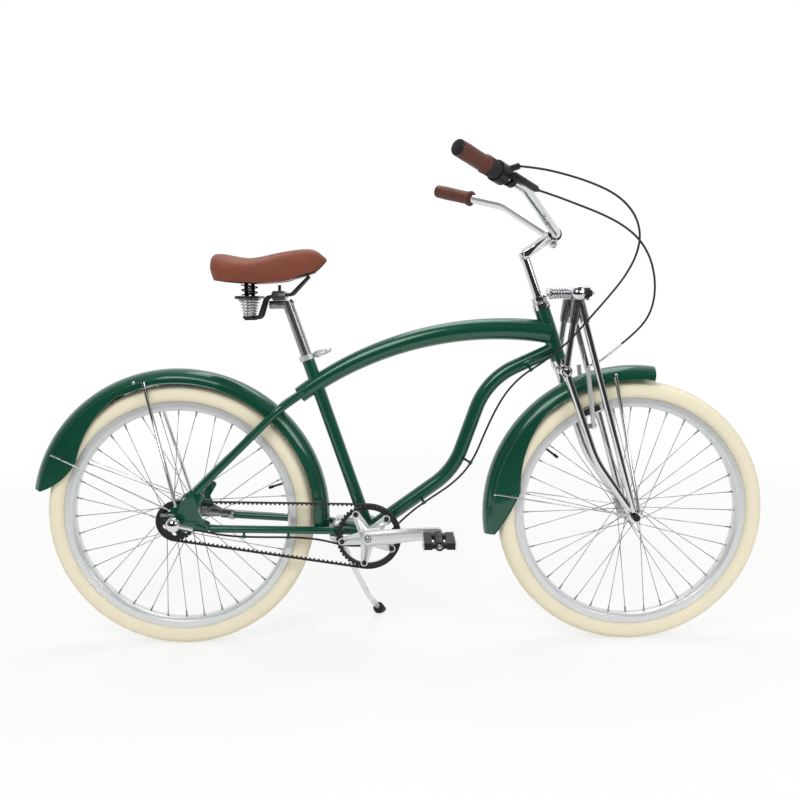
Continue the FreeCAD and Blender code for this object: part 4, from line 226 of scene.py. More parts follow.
def tyre_rubber(tree, shader, at, colours):
    """Moulded cream rubber: matt walls, chalky bloom in patches and grey dust on the tread."""
    speck = mottled(tree, shader, at, (9, 6.0), (0.62, 0.85), (1.6, 2.0, 0.2, 0.3), IOR=1.52,
                    Specular_IOR_Level=0.35)
    parts = put(tree, "ShaderNodeSeparateXYZ", {"Vector": at["UV"]})
    across = put(tree, "ShaderNodeMath", {0: parts.outputs["Y"], 1: 0.5}, operation="SUBTRACT")
    away = put(tree, "ShaderNodeMath", {0: across.outputs[0]}, operation="ABSOLUTE")
    tread = put(tree, "ShaderNodeMapRange", {"Value": away.outputs[0], "From Min": 0.10, "From Max": 0.19,
                                             "To Min": 0.75, "To Max": 0.0})
    dusty = put(tree, "ShaderNodeMath", {0: tread.outputs[0], 1: speck}, operation="MULTIPLY")
    tone = put(tree, "ShaderNodeMix", {"Factor": dusty.outputs[0], 6: colours.tyre, 7: colours.tyre_dust},
               data_type="RGBA")
    set_inputs(tree, shader, Base_Color=tone.outputs[2])


def leather(tree, shader, at, tone, deep, grain_mm):
    """Pebbled cover: rounded cells with dark valleys, soft sheen, and painted shade that darkens the colour
    in slow random patches.
    """
    shade = mottled(tree, shader, at, (45, 4.0), (0.42, 0.60), IOR=1.48, Specular_IOR_Level=0.35)
    cells = put(tree, "ShaderNodeTexVoronoi", {"Vector": at["Object"], "Scale": per_metre(grain_mm)},
                feature="DISTANCE_TO_EDGE")
    valley = put(tree, "ShaderNodeMapRange", {"Value": cells.outputs["Distance"], "From Max": 0.18})
    # Painted shade: slow random patches pull the colour towards the deep tone; the grain's valleys are
    # darkened as well
    painted_shade_patches = put(tree, "ShaderNodeMapRange", {"Value": shade, "From Min": 0.3, "From Max": 0.65, "To Min": 0.35,
                                            "To Max": 1.0})
    both = put(tree, "ShaderNodeMath", {0: painted_shade_patches.outputs[0], 1: valley.outputs[0]}, operation="MULTIPLY")
    lift = put(tree, "ShaderNodeMapRange", {"Value": both.outputs[0], "To Min": 0.25, "To Max": 1.0})
    mixed = put(tree, "ShaderNodeMix", {"Factor": lift.outputs[0], 6: deep, 7: tone}, data_type="RGBA")
    bump = put(tree, "ShaderNodeBump", {"Height": valley.outputs[0], "Strength": 0.28, "Distance": 0.35 * MM})
    set_inputs(tree, shader, Base_Color=mixed.outputs[2], Normal=bump.outputs["Normal"])


def saddle_leather(tree, shader, at, colours):
    """Brown saddle cover; its pebbles, about 1 mm on the real one, are drawn 2.2 mm wide to show."""
    leather(tree, shader, at, colours.leather, colours.leather_deep, 2.2)


def grip_leather(tree, shader, at, colours):
    """Brown grip cover; its fine pebbles are drawn 1.6 mm wide so that they show."""
    leather(tree, shader, at, colours.grip, colours.grip_deep, 1.6)


def metal(tree, shader, at, tone, rough_low, rough_high, smear_mm):
    """Bare or plated metal: roughness drifts between two values where hands and weather have dulled it."""
    smear = put(tree, "ShaderNodeTexNoise", {"Vector": at["Object"], "Scale": per_metre(smear_mm),
                                             "Detail": 6.0, "Roughness": 0.6})
    rough = put(tree, "ShaderNodeMapRange", {"Value": smear.outputs["Fac"], "From Min": 0.3, "From Max": 0.7,
                                             "To Min": rough_low, "To Max": rough_high})
    set_inputs(tree, shader, Base_Color=tone, Metallic=1.0, Roughness=rough.outputs[0])


def chrome_plate(tree, shader, at, colours):
    """Bright chrome on polished steel, with faint wiped smears."""
    metal(tree, shader, at, colours.chrome, 0.05, 0.10, 60)


def polished_alloy(tree, shader, at, colours):
    """Buffed aluminium castings and forgings: a pale satin glow, softer than chrome."""
    metal(tree, shader, at, colours.alloy, 0.34, 0.42, 50)
    set_inputs(tree, shader, Metallic=0.65)


def brushed_alloy(tree, shader, at, colours):
    """Aluminium tube drawn through a die: evenly dulled."""
    metal(tree, shader, at, colours.satin, 0.28, 0.34, 60)


def rim_alloy(tree, shader, at, colours):
    """Rolled and turned rim: rings of tool marks round the wheel, read across the rim's own map."""
    mark_count = 190.0
    parts = put(tree, "ShaderNodeSeparateXYZ", {"Vector": at["UV"]})
    rings = put(tree, "ShaderNodeMath", {0: parts.outputs["Y"], 1: mark_count}, operation="MULTIPLY")
    marks = put(tree, "ShaderNodeTexNoise", {"W": rings.outputs[0], "Scale": 1.0, "Detail": 2.0},
                noise_dimensions="1D")
    rough = put(tree, "ShaderNodeMapRange", {"Value": marks.outputs["Fac"], "To Min": 0.20, "To Max": 0.38})
    bump = put(tree, "ShaderNodeBump", {"Height": marks.outputs["Fac"], "Strength": 0.1,
                                        "Distance": 0.1 * MM})
    set_inputs(tree, shader, Base_Color=colours.alloy, Metallic=0.45, Roughness=rough.outputs[0],
               Normal=bump.outputs["Normal"])


def drawn_steel(tree, shader, at, colours):
    """Stainless wire of the spokes and bright zinc on small steel parts."""
    metal(tree, shader, at, colours.satin, 0.20, 0.28, 25)


def moulded_plastic(tree, shader, at, colours):
    """Black nylon with the fine spark grain of its mould."""
    mottled(tree, shader, at, (18, 3.0), (0.36, 0.55), (0.9, 2.0, 0.15, 0.2), Base_Color=colours.black,
            IOR=1.53, Specular_IOR_Level=0.3)


def black_powder(tree, shader, at, colours):
    """Black powder coat on steel: satin, with a pimpled skin and rubbed patches."""
    mottled(tree, shader, at, (11, 5.0), (0.26, 0.46), (2.0, 2.0, 0.12, 0.2), Base_Color=colours.black,
            Coat_Weight=0.15, Coat_Roughness=0.2, IOR=1.5, Specular_IOR_Level=0.3)


def black_rubber(tree, shader, at, colours):
    """Black rubber: dull, with a powdery bloom in patches."""
    mottled(tree, shader, at, (7, 5.0), (0.55, 0.80), (1.1, 2.0, 0.18, 0.2), Base_Color=colours.rubber,
            IOR=1.52, Specular_IOR_Level=0.2)


def cable_sleeve(tree, shader, at, colours):
    """Black PVC sleeve: smooth and slightly glossy, scuffed here and there."""
    mottled(tree, shader, at, (20, 4.0), (0.28, 0.5), Base_Color=colours.black, IOR=1.53)


def prism_reflector(tree, shader, at, colours):
    """Clear acrylic with small prisms on its back: bright cells of about 3 mm."""
    cells = put(tree, "ShaderNodeTexVoronoi", {"Vector": at["Object"], "Scale": per_metre(3.2)})
    rough = put(tree, "ShaderNodeMapRange", {"Value": cells.outputs["Distance"], "To Min": 0.05,
                                             "To Max": 0.3})
    bump = put(tree, "ShaderNodeBump", {"Height": cells.outputs["Distance"], "Strength": 0.5,
                                        "Distance": 0.6 * MM})
    set_inputs(tree, shader, Base_Color=colours.reflector, Roughness=rough.outputs[0],
               Normal=bump.outputs["Normal"], Coat_Weight=1.0, Coat_Roughness=0.03, IOR=1.49)


# Each finish has its material function and the record's material slot
FINISHES = {
    "stove_enamel": (stove_enamel, "green_paint"), "tyre_rubber": (tyre_rubber, "cream_tyre"),
    "saddle_leather": (saddle_leather, "brown_leather"), "grip_leather": (grip_leather, "brown_grip"),
    "chrome_plate": (chrome_plate, "chrome"), "polished_alloy": (polished_alloy, "aluminium"),
    "brushed_alloy": (brushed_alloy, "aluminium"), "rim_alloy": (rim_alloy, "rim_silver"),
    "drawn_steel": (drawn_steel, "steel"), "moulded_plastic": (moulded_plastic, "black_plastic"),
    "black_powder": (black_powder, "black_steel"), "black_rubber": (black_rubber, "black_rubber"),
    "cable_sleeve": (cable_sleeve, "black_cable"), "prism_reflector": (prism_reflector, "black_plastic"),
}


# Meshes from arrays

def mesh_of(name, points, faces, uv=None):
    """A mesh from an array of points and an array of faces, with a map where one is given."""
    made = bpy.data.meshes.new(name)
    made.vertices.add(len(points))
    made.vertices.foreach_set("co", np.asarray(points, np.float32).ravel())
    made.loops.add(faces.size)
    made.loops.foreach_set("vertex_index", faces.astype(np.int32).ravel())
    made.polygons.add(len(faces))
    made.polygons.foreach_set("loop_start", np.arange(0, faces.size, faces.shape[1], dtype=np.int32))
    made.update(calc_edges=True)
    if uv is not None:
        layer = made.uv_layers.new(name="surface")
        layer.data.foreach_set("uv", np.asarray(uv, np.float32).ravel())
    return made


def cells(rows, columns, last_row):
    """The four corners of each cell of a grid of rings, with the cell's row and column."""
    i, j = np.indices((last_row, columns)).reshape(2, -1)
    i_next, j_next = (i + 1) % rows, (j + 1) % columns
    corners = [i * columns + j, i_next * columns + j, i_next * columns + j_next, i * columns + j_next]
    return np.stack(corners, 1), i, j


def grid_mesh(name, points, closed=False):
    """A grid of rings as a mesh: each cell is a face, and a closed grid joins its last ring to its first."""
    rows, columns = points.shape[:2]
    last_row = rows if closed else rows - 1
    faces, i, j = cells(rows, columns, last_row)
    u = np.stack([i, i + 1, i + 1, i], 1) / last_row
    v = np.stack([j, j, j + 1, j + 1], 1) / columns
    return mesh_of(name, points.reshape(-1, 3), faces, np.stack([u, v], -1).reshape(-1, 2))


def joined(name, grids):
    """Several grids of rings as one mesh."""
    starts = np.cumsum([0] + [len(grid) * grid.shape[1] for grid in grids[:-1]])
    faces = [start + cells(*grid.shape[:2], len(grid) - 1)[0] for start, grid in zip(starts, grids)]
    return mesh_of(name, np.concatenate([grid.reshape(-1, 3) for grid in grids]), np.concatenate(faces))


def shaded(mesh, crease_degrees):
    """Merge doubled points, turn faces outwards and shade smooth; edges sharper than the crease stay hard."""
    shape = bmesh.new()
    shape.from_mesh(mesh)
    bmesh.ops.remove_doubles(shape, verts=shape.verts, dist=0.002 * MM)
    bmesh.ops.dissolve_degenerate(shape, edges=shape.edges, dist=0.001 * MM)
    bmesh.ops.recalc_face_normals(shape, faces=shape.faces)
    shape.to_mesh(mesh)
    shape.free()
    mesh.polygons.foreach_set("use_smooth", np.ones(len(mesh.polygons), bool))
    mesh.set_sharp_from_angle(angle=math.radians(crease_degrees))
    return mesh


def piece(name, mesh, look, body, replaced=(), crease_degrees=40):
    """A finished object that may stand for CAD nodes; it rides on its body, or on none if it is blended."""
    made = bpy.data.objects.new(name, shaded(mesh, crease_degrees))
    bpy.context.scene.collection.objects.link(made)
    made.data.materials.append(finish(look))
    if body:
        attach(made, body)
    if replaced:
        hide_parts(*replaced)
    return made


def ringed(name, grid, look, body, replaced=(), crease_degrees=40):
    """A piece from a grid of rings, drawn together to a point at both ends."""
    return piece(name, grid_mesh(name, capped(grid)), look, body, replaced, crease_degrees)


def dress(node, look, crease_degrees=32):
    """A merged, smooth copy of a CAD node's mesh in its finish, standing for the node."""
    copy = frame["nodes"][node].data.copy()
    copy.materials.clear()
    copy.name = node + "_finish"
    return piece(node + "_finish", copy, look, NODE_BODY[node], (node,), crease_degrees)


def repaint(made, look, chosen):
    """Give another finish to the faces whose middles are chosen; chosen takes an array of middles."""
    count = len(made.data.polygons)
    middles = np.empty(count * 3, np.float32)
    made.data.polygons.foreach_get("center", middles)
    index = np.empty(count, np.int32)
    made.data.polygons.foreach_get("material_index", index)
    made.data.materials.append(finish(look))
    index[chosen(middles.reshape(-1, 3))] = len(made.data.materials) - 1
    made.data.polygons.foreach_set("material_index", index)
    return made


def unit(vectors):
    """Vectors of length one that point the same way."""
    return vectors / np.linalg.norm(vectors, axis=-1, keepdims=True)


def round_axle(axle, radius, turn, offset):
    """Points round an axle, at a radius, a turn in the wheel's plane and an offset sideways."""
    return axle + np.stack(np.broadcast_arrays(radius * np.cos(turn), offset, radius * np.sin(turn)), -1)


def spun(profile, centre, steps):
    """A profile of radius and offset carried round an axle: each point turns in the wheel's plane."""
    turn = np.linspace(0, 2 * np.pi, steps, endpoint=False)[:, None]
    return round_axle(centre, profile[None, :, 0], turn, profile[None, :, 1])


def ring(radius, across, other, sides):
    """A circle: the radius times an angle's cosine one way and its sine the other."""
    angle = np.linspace(0, 2 * np.pi, sides, endpoint=False)[None, :, None]
    return radius * (across * np.cos(angle) + other * np.sin(angle))


def swept(path, radius, sides, beside=(0.0, 1.0, 0.0)):
    """A round section carried along a path: rings square to the path's direction."""
    heading = unit(np.gradient(path, axis=0))
    across = unit(np.cross(heading, beside))
    return path[:, None] + ring(radius, across[:, None], np.cross(heading, across)[:, None], sides)


def capped(grid):
    """A grid of rings closed at both ends by drawing an extra ring together to a point."""
    first, last = np.broadcast_to(grid[[0, -1]].mean(1, keepdims=True), (2, *grid.shape[1:]))
    return np.concatenate([first[None], grid, last[None]])


def lathe(start, end, stations, radii, sides):
    """Rings square to a straight axis: stations are shares of its length and each has its radius."""
    start, end = np.asarray(start, float), np.asarray(end, float)
    along = unit(end - start)
    helper = (0.0, 0.0, 1.0) if abs(along[2]) < 0.9 else (1.0, 0.0, 0.0)
    across = unit(np.cross(along, helper))
    rings = start + np.outer(stations, end - start)
    return rings[:, None] + ring(np.asarray(radii)[:, None, None], across, np.cross(along, across), sides)


def turned_bit(stations, radii, sides):
    """A small turned shape along +Z: each station is a height and each has its radius."""
    return lathe((0, 0, 0), (0, 0, 1), stations, radii, sides)


def copies(name, grid, places, heads):
    """A mesh that repeats a small turned shape at many places, its +Z turned to each one's own heading."""
    heads = unit(np.asarray(heads, float))
    helper = np.where(np.abs(heads[:, 1:2]) < 0.9, [[0.0, 1.0, 0.0]], [[1.0, 0.0, 0.0]])
    across = unit(np.cross(helper, heads))
    axes = np.stack([across, np.cross(heads, across), heads], 1)
    grid = capped(grid)
    flat = grid.reshape(-1, 3)
    points = np.asarray(places)[:, None] + np.einsum("pk,nkc->npc", flat, axes)
    faces = cells(*grid.shape[:2], len(grid) - 1)[0] + (np.arange(len(points)) * len(flat))[:, None, None]
    return mesh_of(name, points.reshape(-1, 3), faces.reshape(-1, 4))


def eased(stations, values, at):
    """A smooth curve through values at stations: cubic pieces with slopes taken from their neighbours."""
    stations, values = np.asarray(stations, float), np.asarray(values, float)
    slopes = np.gradient(values, stations)
    k = np.clip(np.searchsorted(stations, at, side="right") - 1, 0, len(stations) - 2)
    width = stations[k + 1] - stations[k]
    t = (at - stations[k]) / width
    return ((1 + 2 * t) * (1 - t) ** 2 * values[k] + t * (1 - t) ** 2 * width * slopes[k]
            + t * t * (3 - 2 * t) * values[k + 1] + t * t * (t - 1) * width * slopes[k + 1])


def arc_through(first, between, last, count):
    """Points on the circle through three points of a plane, from the first over the second to the third."""
    (ax, ay), (bx, by), (cx, cy) = first, between, last
    twice = 2 * (ax * (by - cy) + bx * (cy - ay) + cx * (ay - by))
    squares = [ax * ax + ay * ay, bx * bx + by * by, cx * cx + cy * cy]
    ux = (squares[0] * (by - cy) + squares[1] * (cy - ay) + squares[2] * (ay - by)) / twice
    uy = (squares[0] * (cx - bx) + squares[1] * (ax - cx) + squares[2] * (bx - ax)) / twice
    radius = math.hypot(ax - ux, ay - uy)
    angles = np.unwrap([math.atan2(y - uy, x - ux) for x, y in (first, between, last)])
    angle = np.linspace(angles[0], angles[2], count)
    return np.stack([ux + radius * np.cos(angle), uy + radius * np.sin(angle)], -1)


def bent(corners, radii):
    """Straight runs whose inner corners are rounded by arcs that touch both runs, each at its own radius.

    A point of an arc at angle t is its start, plus the radius times sin t along the run in and 1 - cos t
    inwards.
    """
    corners = np.asarray(corners, float)
    parts = [corners[:1]]
    for k, radius in enumerate(radii, 1):
        into, out = unit(corners[k] - corners[k - 1]), unit(corners[k + 1] - corners[k])
        turn = math.acos(into @ out)
        inward = unit(out - into * (into @ out))
        t = np.linspace(0, turn, 24)[:, None]
        start = corners[k] - into * radius * math.tan(turn / 2)
        parts.append(start + radius * (np.sin(t) * into + (1 - np.cos(t)) * inward))
    parts.append(corners[-1:])
    return np.concatenate(parts)


SKIN = 0.25 * MM
TUBE_SIDES = 32


def plated(name, path, radius, look, body, **way):
    """The polished skin of a round tube along its middle line, just proud of the tube."""
    return ringed(name, swept(path, radius + SKIN, TUBE_SIDES, **way), look, body, (), 50)


# Wheels

SPOKE_COUNT = 36
SPOKE_CROSSINGS = 3
SPOKE_RIM_OFFSET = 3 * MM
SPOKE_RIM_GAP = 0.2 * MM
SPOKE_SPLAY = 4.1 * MM
RIM_FLOOR = 267 * MM
TYRE_CROWN = 24 * MM
RIM_LIP = 2.6 * MM
BEAD_DEPTH = 6 * MM
BEAD_WIDTH = 3 * MM
WALL_THICKNESS = 4 * MM
TREAD_THICKNESS = 5 * MM
WALL_RIB = 0.5 * MM
VALVE_LENGTH = 34 * MM
VALVE_RADIUS = 3 * MM
VALVE_THREAD = 0.35 * MM
CAP_DEPTH = 9 * MM
CAP_PROUD = 4 * MM
WHEELS = {
    "rear": dict(axle=REAR_AXLE, body="rear_wheel", circle=33 * MM, flange=29 * MM, valve_angle=0.30),
    "front": dict(axle=FRONT_AXLE, body="front_wheel", circle=20.5 * MM, flange=33 * MM, valve_angle=2.49),
}


def tyre_grid(axle, sizes):
    """A balloon tyre: an oval section goes round the axle, and bricks of tread stand between shallow grooves.

    Over the top the section is half an ellipse; below the belly it draws in to the rim along a quarter
    ellipse. Rows of bricks share the tread, each row half a brick on from the next, and the radius drops in
    the joints.
    """
    belly_radius = WHEEL_RADIUS - TYRE_CROWN
    bead_half = RIM_HALF - RIM_LIP
    row_count = 7
    tread_reach = 0.62
    row_shares = np.array([0.0, 0.12, 0.88])
    rows = (np.arange(row_count)[:, None] + row_shares).ravel() / row_count
    tread = (np.append(rows, 1.0) * 2 - 1) * tread_reach
    wall = np.linspace(tread_reach, np.pi / 2, 9)[1:]
    over = np.concatenate([-wall[::-1], tread, wall])
    half = TYRE_HALF
    crown = (WHEEL_RADIUS - belly_radius) * np.cos(over) ** 0.85
    top = np.stack([belly_radius + crown, half * np.sin(over)], -1)
    lower = np.linspace(0, np.pi / 2, 7)[1:]
    tuck = np.stack([belly_radius - (belly_radius - RIM_RADIUS) * np.sin(lower),
                     bead_half + (half - bead_half) * np.cos(lower)], -1)
    bead_radius = RIM_RADIUS - BEAD_DEPTH
    foot = np.array([[bead_radius, bead_half], [bead_radius, bead_half - BEAD_WIDTH]])
    hollow = np.array([[belly_radius, half - WALL_THICKNESS], [WHEEL_RADIUS - TREAD_THICKNESS, half / 3]])
    right = np.concatenate([tuck, foot, hollow])
    left = (right * [1, -1])[::-1]
    profile = np.concatenate([left, top, right])
    brick_shares = np.array([0.0, 0.09, 0.41, 0.5, 0.59, 0.91])
    turn = (np.arange(sizes.tread_blocks)[:, None] + brick_shares).ravel() / sizes.tread_blocks * 2 * np.pi
    radius = np.repeat(profile[None, :, 0], len(turn), 0)
    first = len(left) + len(wall)
    columns = np.arange(first, first + len(tread))
    groove_column = (np.arange(len(tread)) % 3 == 0)
    row_of = np.minimum(np.arange(len(tread)) // 3, row_count - 1)
    phase = np.tile(np.arange(6), sizes.tread_blocks)
    joint = np.where(row_of[None] % 2 == 0, (phase == 0)[:, None], (phase == 3)[:, None])
    deep = joint | groove_column[None]
    radius[:, columns] -= sizes.tread_depth * deep
    ribs = np.isin(np.arange(len(profile)), [len(left) + 3, len(left) + len(top) - 4])
    radius[:, ribs] += WALL_RIB
    return round_axle(axle, radius, turn[:, None], profile[None, :, 1])


def rim_profile():
    """A rolled rim's closed section as radius and offset: brake walls, round shoulders and a narrow floor."""
    edge, half = RIM_RADIUS, RIM_HALF
    shoulder, floor, narrow, wall, soft = 273 * MM, RIM_FLOOR, 7 * MM, 2.4 * MM, 0.8 * MM
    right = np.array([(floor, 0), (floor, narrow - soft), (floor + soft / 2, narrow + soft),
                      (shoulder - soft, half - 2 * soft), (shoulder + soft, half - soft / 4),
                      (shoulder + 2 * soft, half), (edge - 5 * soft, half),
                      (edge - 4.5 * soft, half - soft / 2), (edge - 4 * soft, half), (edge - soft, half),
                      (edge, half - soft), (edge, half - wall), (shoulder + wall, half - wall),
                      (floor + wall, narrow), (floor + wall, 0)])
    left = (right[1:-1] * [1, -1])[::-1]
    return np.concatenate([right, left])


def spoke_lines(wheel):
    """Foot and tip of each spoke: round a flange they lead and trail in turn, by three crossings."""
    per_side = SPOKE_COUNT // 2
    k = np.arange(per_side)
    way = np.where(k % 2 == 0, 1.0, -1.0)
    step = 2 * np.pi / per_side
    lean = SPOKE_CROSSINGS * 4 * np.pi / SPOKE_COUNT
    rim = RIM_FLOOR - SPOKE_RIM_GAP
    feet, tips = [], []
    for flank in (-1, 1):
        angle = step * k + (step / 2 if flank > 0 else 0)
        out = flank * (wheel["flange"] + way * SPOKE_SPLAY)
        feet.append(round_axle(wheel["axle"], wheel["circle"], angle, out))
        tips.append(round_axle(wheel["axle"], rim, angle + way * lean, flank * SPOKE_RIM_OFFSET))
    return np.concatenate(feet), np.concatenate(tips)


class CRUISER_OT_tyres(bpy.types.Operator):
    """Cream balloon tyres with brick tread"""
    bl_idname = "cruiser.tyres"
    bl_label = "Tyres"

    def execute(self, context):
        for name, wheel in WHEELS.items():
            label = name + "_tyre_rubber"
            mesh = grid_mesh(label, tyre_grid(wheel["axle"], context.scene.cruiser_sizes), True)
            piece(label, mesh, "tyre_rubber", wheel["body"], (name + "_tyre",), 50)
        return {"FINISHED"}


class CRUISER_OT_rims(bpy.types.Operator):
    """Rims, hubs, spokes with their nipples and heads, and tyre valves"""
    bl_idname = "cruiser.rims"
    bl_label = "Rims and spokes"

    def execute(self, context):
        sizes = context.scene.cruiser_sizes
        bit = turned_bit(np.array([-1.0, 1.0, 2.0, 12.0, 13.0]) / 13 * sizes.nipple_length,
                         np.array([1.5, 1.5, 1.0, 0.85, 0.6]) * sizes.nipple_radius, 8)
        head = turned_bit(np.array([-1.4, -0.9, 0.9, 1.4]) * MM, np.array([1.0, 1.9, 1.9, 1.0]) * MM, 8)
        for name, wheel in WHEELS.items():
            body = wheel["body"]
            rim = grid_mesh(name + "_rim_band", spun(rim_profile(), wheel["axle"], 240), True)
            piece(name + "_rim_band", rim, "rim_alloy", body, (name + "_rim",), 38)
            feet, tips = spoke_lines(wheel)
            nipples = copies(name + "_spoke_nipples", bit, tips, feet - tips)
            piece(name + "_spoke_nipples", nipples, "drawn_steel", body)
            dress(name + "_spokes", "drawn_steel", 80)
            dress(name + "_hub", "polished_alloy", 30)
            outward = np.zeros_like(feet)
            outward[:, 1] = np.sign(feet[:, 1] - wheel["axle"][1])
            heads = copies(name + "_spoke_heads", head, feet, outward)
            piece(name + "_spoke_heads", heads, "drawn_steel", body)
            self.valve(name, wheel)
        return {"FINISHED"}

    def valve(self, name, wheel):
        """A threaded valve stem through the rim's floor, with a black cap on its end."""
        angle = wheel["valve_angle"]
        way = np.array([math.cos(angle), 0.0, math.sin(angle)])
        foot = wheel["axle"] + way * RIM_FLOOR
        tip = foot - way * VALVE_LENGTH
        threads = VALVE_RADIUS - VALVE_THREAD * (np.arange(25) % 2)
        stem = lathe(foot, tip, np.linspace(0, 1, len(threads)), threads, 12)
        ringed(name + "_valve_stem", stem, "black_rubber", wheel["body"])
        cap = lathe(tip + way * CAP_DEPTH, tip - way * CAP_PROUD, (0.0, 0.1, 0.8, 0.95, 1.0),
                    np.array([3.6, 3.9, 3.9, 3.2, 1.8]) * MM, 14)
        ringed(name + "_valve_cap", cap, "moulded_plastic", wheel["body"])


# Frame and mudguards

GREEN_NODES = ("head_tube", "top_tube", "down_tube", "seat_tube", "bottom_bracket_shell", "chain_stays",
               "seat_stays", "dropouts", "cable_clips")


class CRUISER_OT_frame(bpy.types.Operator):
    """Enamelled frame tubes, plates and clips"""
    bl_idname = "cruiser.frame"
    bl_label = "Frame"

    def execute(self, context):
        for node in GREEN_NODES:
            dress(node, "stove_enamel")
        dress("frame_bearings", "chrome_plate")
        dress("coaster_brake_arm", "drawn_steel")
        dress("rear_axle", "drawn_steel")
        dress("shift_bell", "chrome_plate", 45)
        return {"FINISHED"}


FLANKS = ((-1, "right"), (1, "left"))
GUARD_EDGE = 349 * MM
GUARD_HALF = 34.5 * MM
EDGE_INSET = 0.6 * MM
EDGE_SIDES = 8
FOLD_RADIUS = 1.3 * MM
FOLD_STAND = 0.4 * MM
FOLD_SHORT_DEGREES = 1.5
LIP_ROOT = 351 * MM
LIP_EDGE = 338 * MM
LIP_HALF = 0.5 * MM
LIP_LAP_DEGREES = 14
RIVET_CIRCLE = 353 * MM
SKIRT_RADII = {"middle": 326 * MM, "deep": 288 * MM, "heel": 306 * MM}
GUARDS = {
    "rear": dict(axle=REAR_AXLE, body="frame", nose=-6, tail=168, rivets=106, skirt=(101, 124, 150, 161)),
    "front": dict(axle=FRONT_AXLE, body="fork_legs", nose=82, tail=188, rivets=98,
                  skirt=(121, 140, 168, 178)),
}


def guard_edge(guard):
    """The lower edge of a mudguard's side: along the crown's lip, then down and up the arcs of its skirt."""
    start, between, deep, heel = guard["skirt"]
    nose, tail = guard["nose"], guard["tail"]

    def at(radius, degrees):
        turn = math.radians(degrees)
        return radius * math.cos(turn), radius * math.sin(turn)

    bottom = at(SKIRT_RADII["deep"], deep)
    crown = arc_through(at(LIP_EDGE, nose), at(LIP_EDGE, (nose + start) / 2), at(LIP_EDGE, start), 60)
    under = arc_through(at(GUARD_EDGE, start), at(SKIRT_RADII["middle"], between), bottom, 50)
    under = under[np.hypot(under[:, 0], under[:, 1]) < LIP_EDGE]
    heel_arc = arc_through(bottom, at(SKIRT_RADII["heel"], heel), at(GUARD_EDGE, tail), 30)
    return np.concatenate([crown, under, heel_arc[1:]])


class CRUISER_OT_mudguards(bpy.types.Operator):
    """Enamelled mudguards with rolled edges, rivets and chromed stays"""
    bl_idname = "cruiser.mudguards"
    bl_label = "Mudguards"

    def execute(self, context):
        sizes = context.scene.cruiser_sizes
        head = turned_bit(np.array([-1.0, 0.0, 0.5, 0.8]) * sizes.rivet / 2,
                          np.array([1.0, 1.0, 0.8, 0.4]) * sizes.rivet, 16)
        for name, guard in GUARDS.items():
            dress(name + "_mudguard", "stove_enamel", 28)
            dress(name + "_mudguard_stays", "chrome_plate")
            for flank, side in FLANKS:
                self.edges(f"{name}_guard", guard, flank, side, sizes.guard_bead)
            places = round_axle(guard["axle"], RIVET_CIRCLE, math.radians(guard["rivets"]),
                                np.array([-GUARD_HALF, GUARD_HALF]))
            rivets = copies(name + "_guard_rivets", head, places, [[0, -1, 0], [0, 1, 0]])
            piece(name + "_guard_rivets", rivets, "chrome_plate", guard["body"])
        return {"FINISHED"}

    def edges(self, name, guard, flank, side, bead):
        """One side's rolled bead, the pressed fold where its skirt leaves the crown, and its turned-down lip.

        The bead and the fold are round sections, along the lower edge and along an arc from the skirt's
        start to the tail. The lip is a thin flat strip round an arc, from the nose to under the skirt.
        """
        axle, body, start = guard["axle"], guard["body"], guard["skirt"][0]
        offset = flank * (GUARD_HALF - EDGE_INSET)
        path = axle + np.insert(guard_edge(guard), 1, offset, axis=1)
        ringed(f"{name}_bead_{side}", swept(path, bead, EDGE_SIDES), "stove_enamel", body)
        turn = np.radians(np.linspace(start, guard["tail"] - FOLD_SHORT_DEGREES, 60))
        path = round_axle(axle, GUARD_EDGE, turn, flank * (GUARD_HALF + FOLD_STAND))
        ringed(f"{name}_fold_{side}", swept(path, FOLD_RADIUS, EDGE_SIDES), "stove_enamel", body)
        turn = np.radians(np.linspace(guard["nose"], start + LIP_LAP_DEGREES, 90))[:, None]
        radius = np.array([LIP_ROOT, LIP_ROOT, LIP_EDGE, LIP_EDGE])
        strip = round_axle(axle, radius, turn, offset + np.array([-1, 1, 1, -1]) * LIP_HALF)
        ringed(f"{name}_lip_{side}", strip, "stove_enamel", body, (), 30)


# Springer fork

COIL_STEPS = 260
WIRE_SIDES = 10


def helix(foot, top, foot_radius, top_radius, turns, dead_share):
    """A coil spring's middle line: the angle grows evenly and the height too, but the end turns lie flat."""
    along = unit(top - foot)
    helper = (0.0, 1.0, 0.0) if abs(along[1]) < 0.9 else (1.0, 0.0, 0.0)
    across = unit(np.cross(along, helper))
    other = np.cross(along, across)
    share = np.linspace(0, 1, COIL_STEPS)
    rise = np.clip((share - dead_share) / (1 - 2 * dead_share), 0, 1)
    rise = 0.92 * rise + 0.08 * rise * rise * (3 - 2 * rise)
    radius = foot_radius + (top_radius - foot_radius) * share
    angle = 2 * np.pi * turns * share
    return (foot + np.outer(rise, top - foot) + np.outer(radius * np.cos(angle), across)
            + np.outer(radius * np.sin(angle), other)), along


def coil_pair(name, node, ends, wire, **coil):
    """Two chromed coil springs as one piece that stands for a node: round wire carried along each helix."""
    grids = []
    for foot, top in ends:
        line, along = helix(np.array(foot), np.array(top), **coil)
        grids.append(capped(swept(line, wire, WIRE_SIDES, along)))
    return piece(name, joined(name, grids), "chrome_plate", None, (node,), 60)


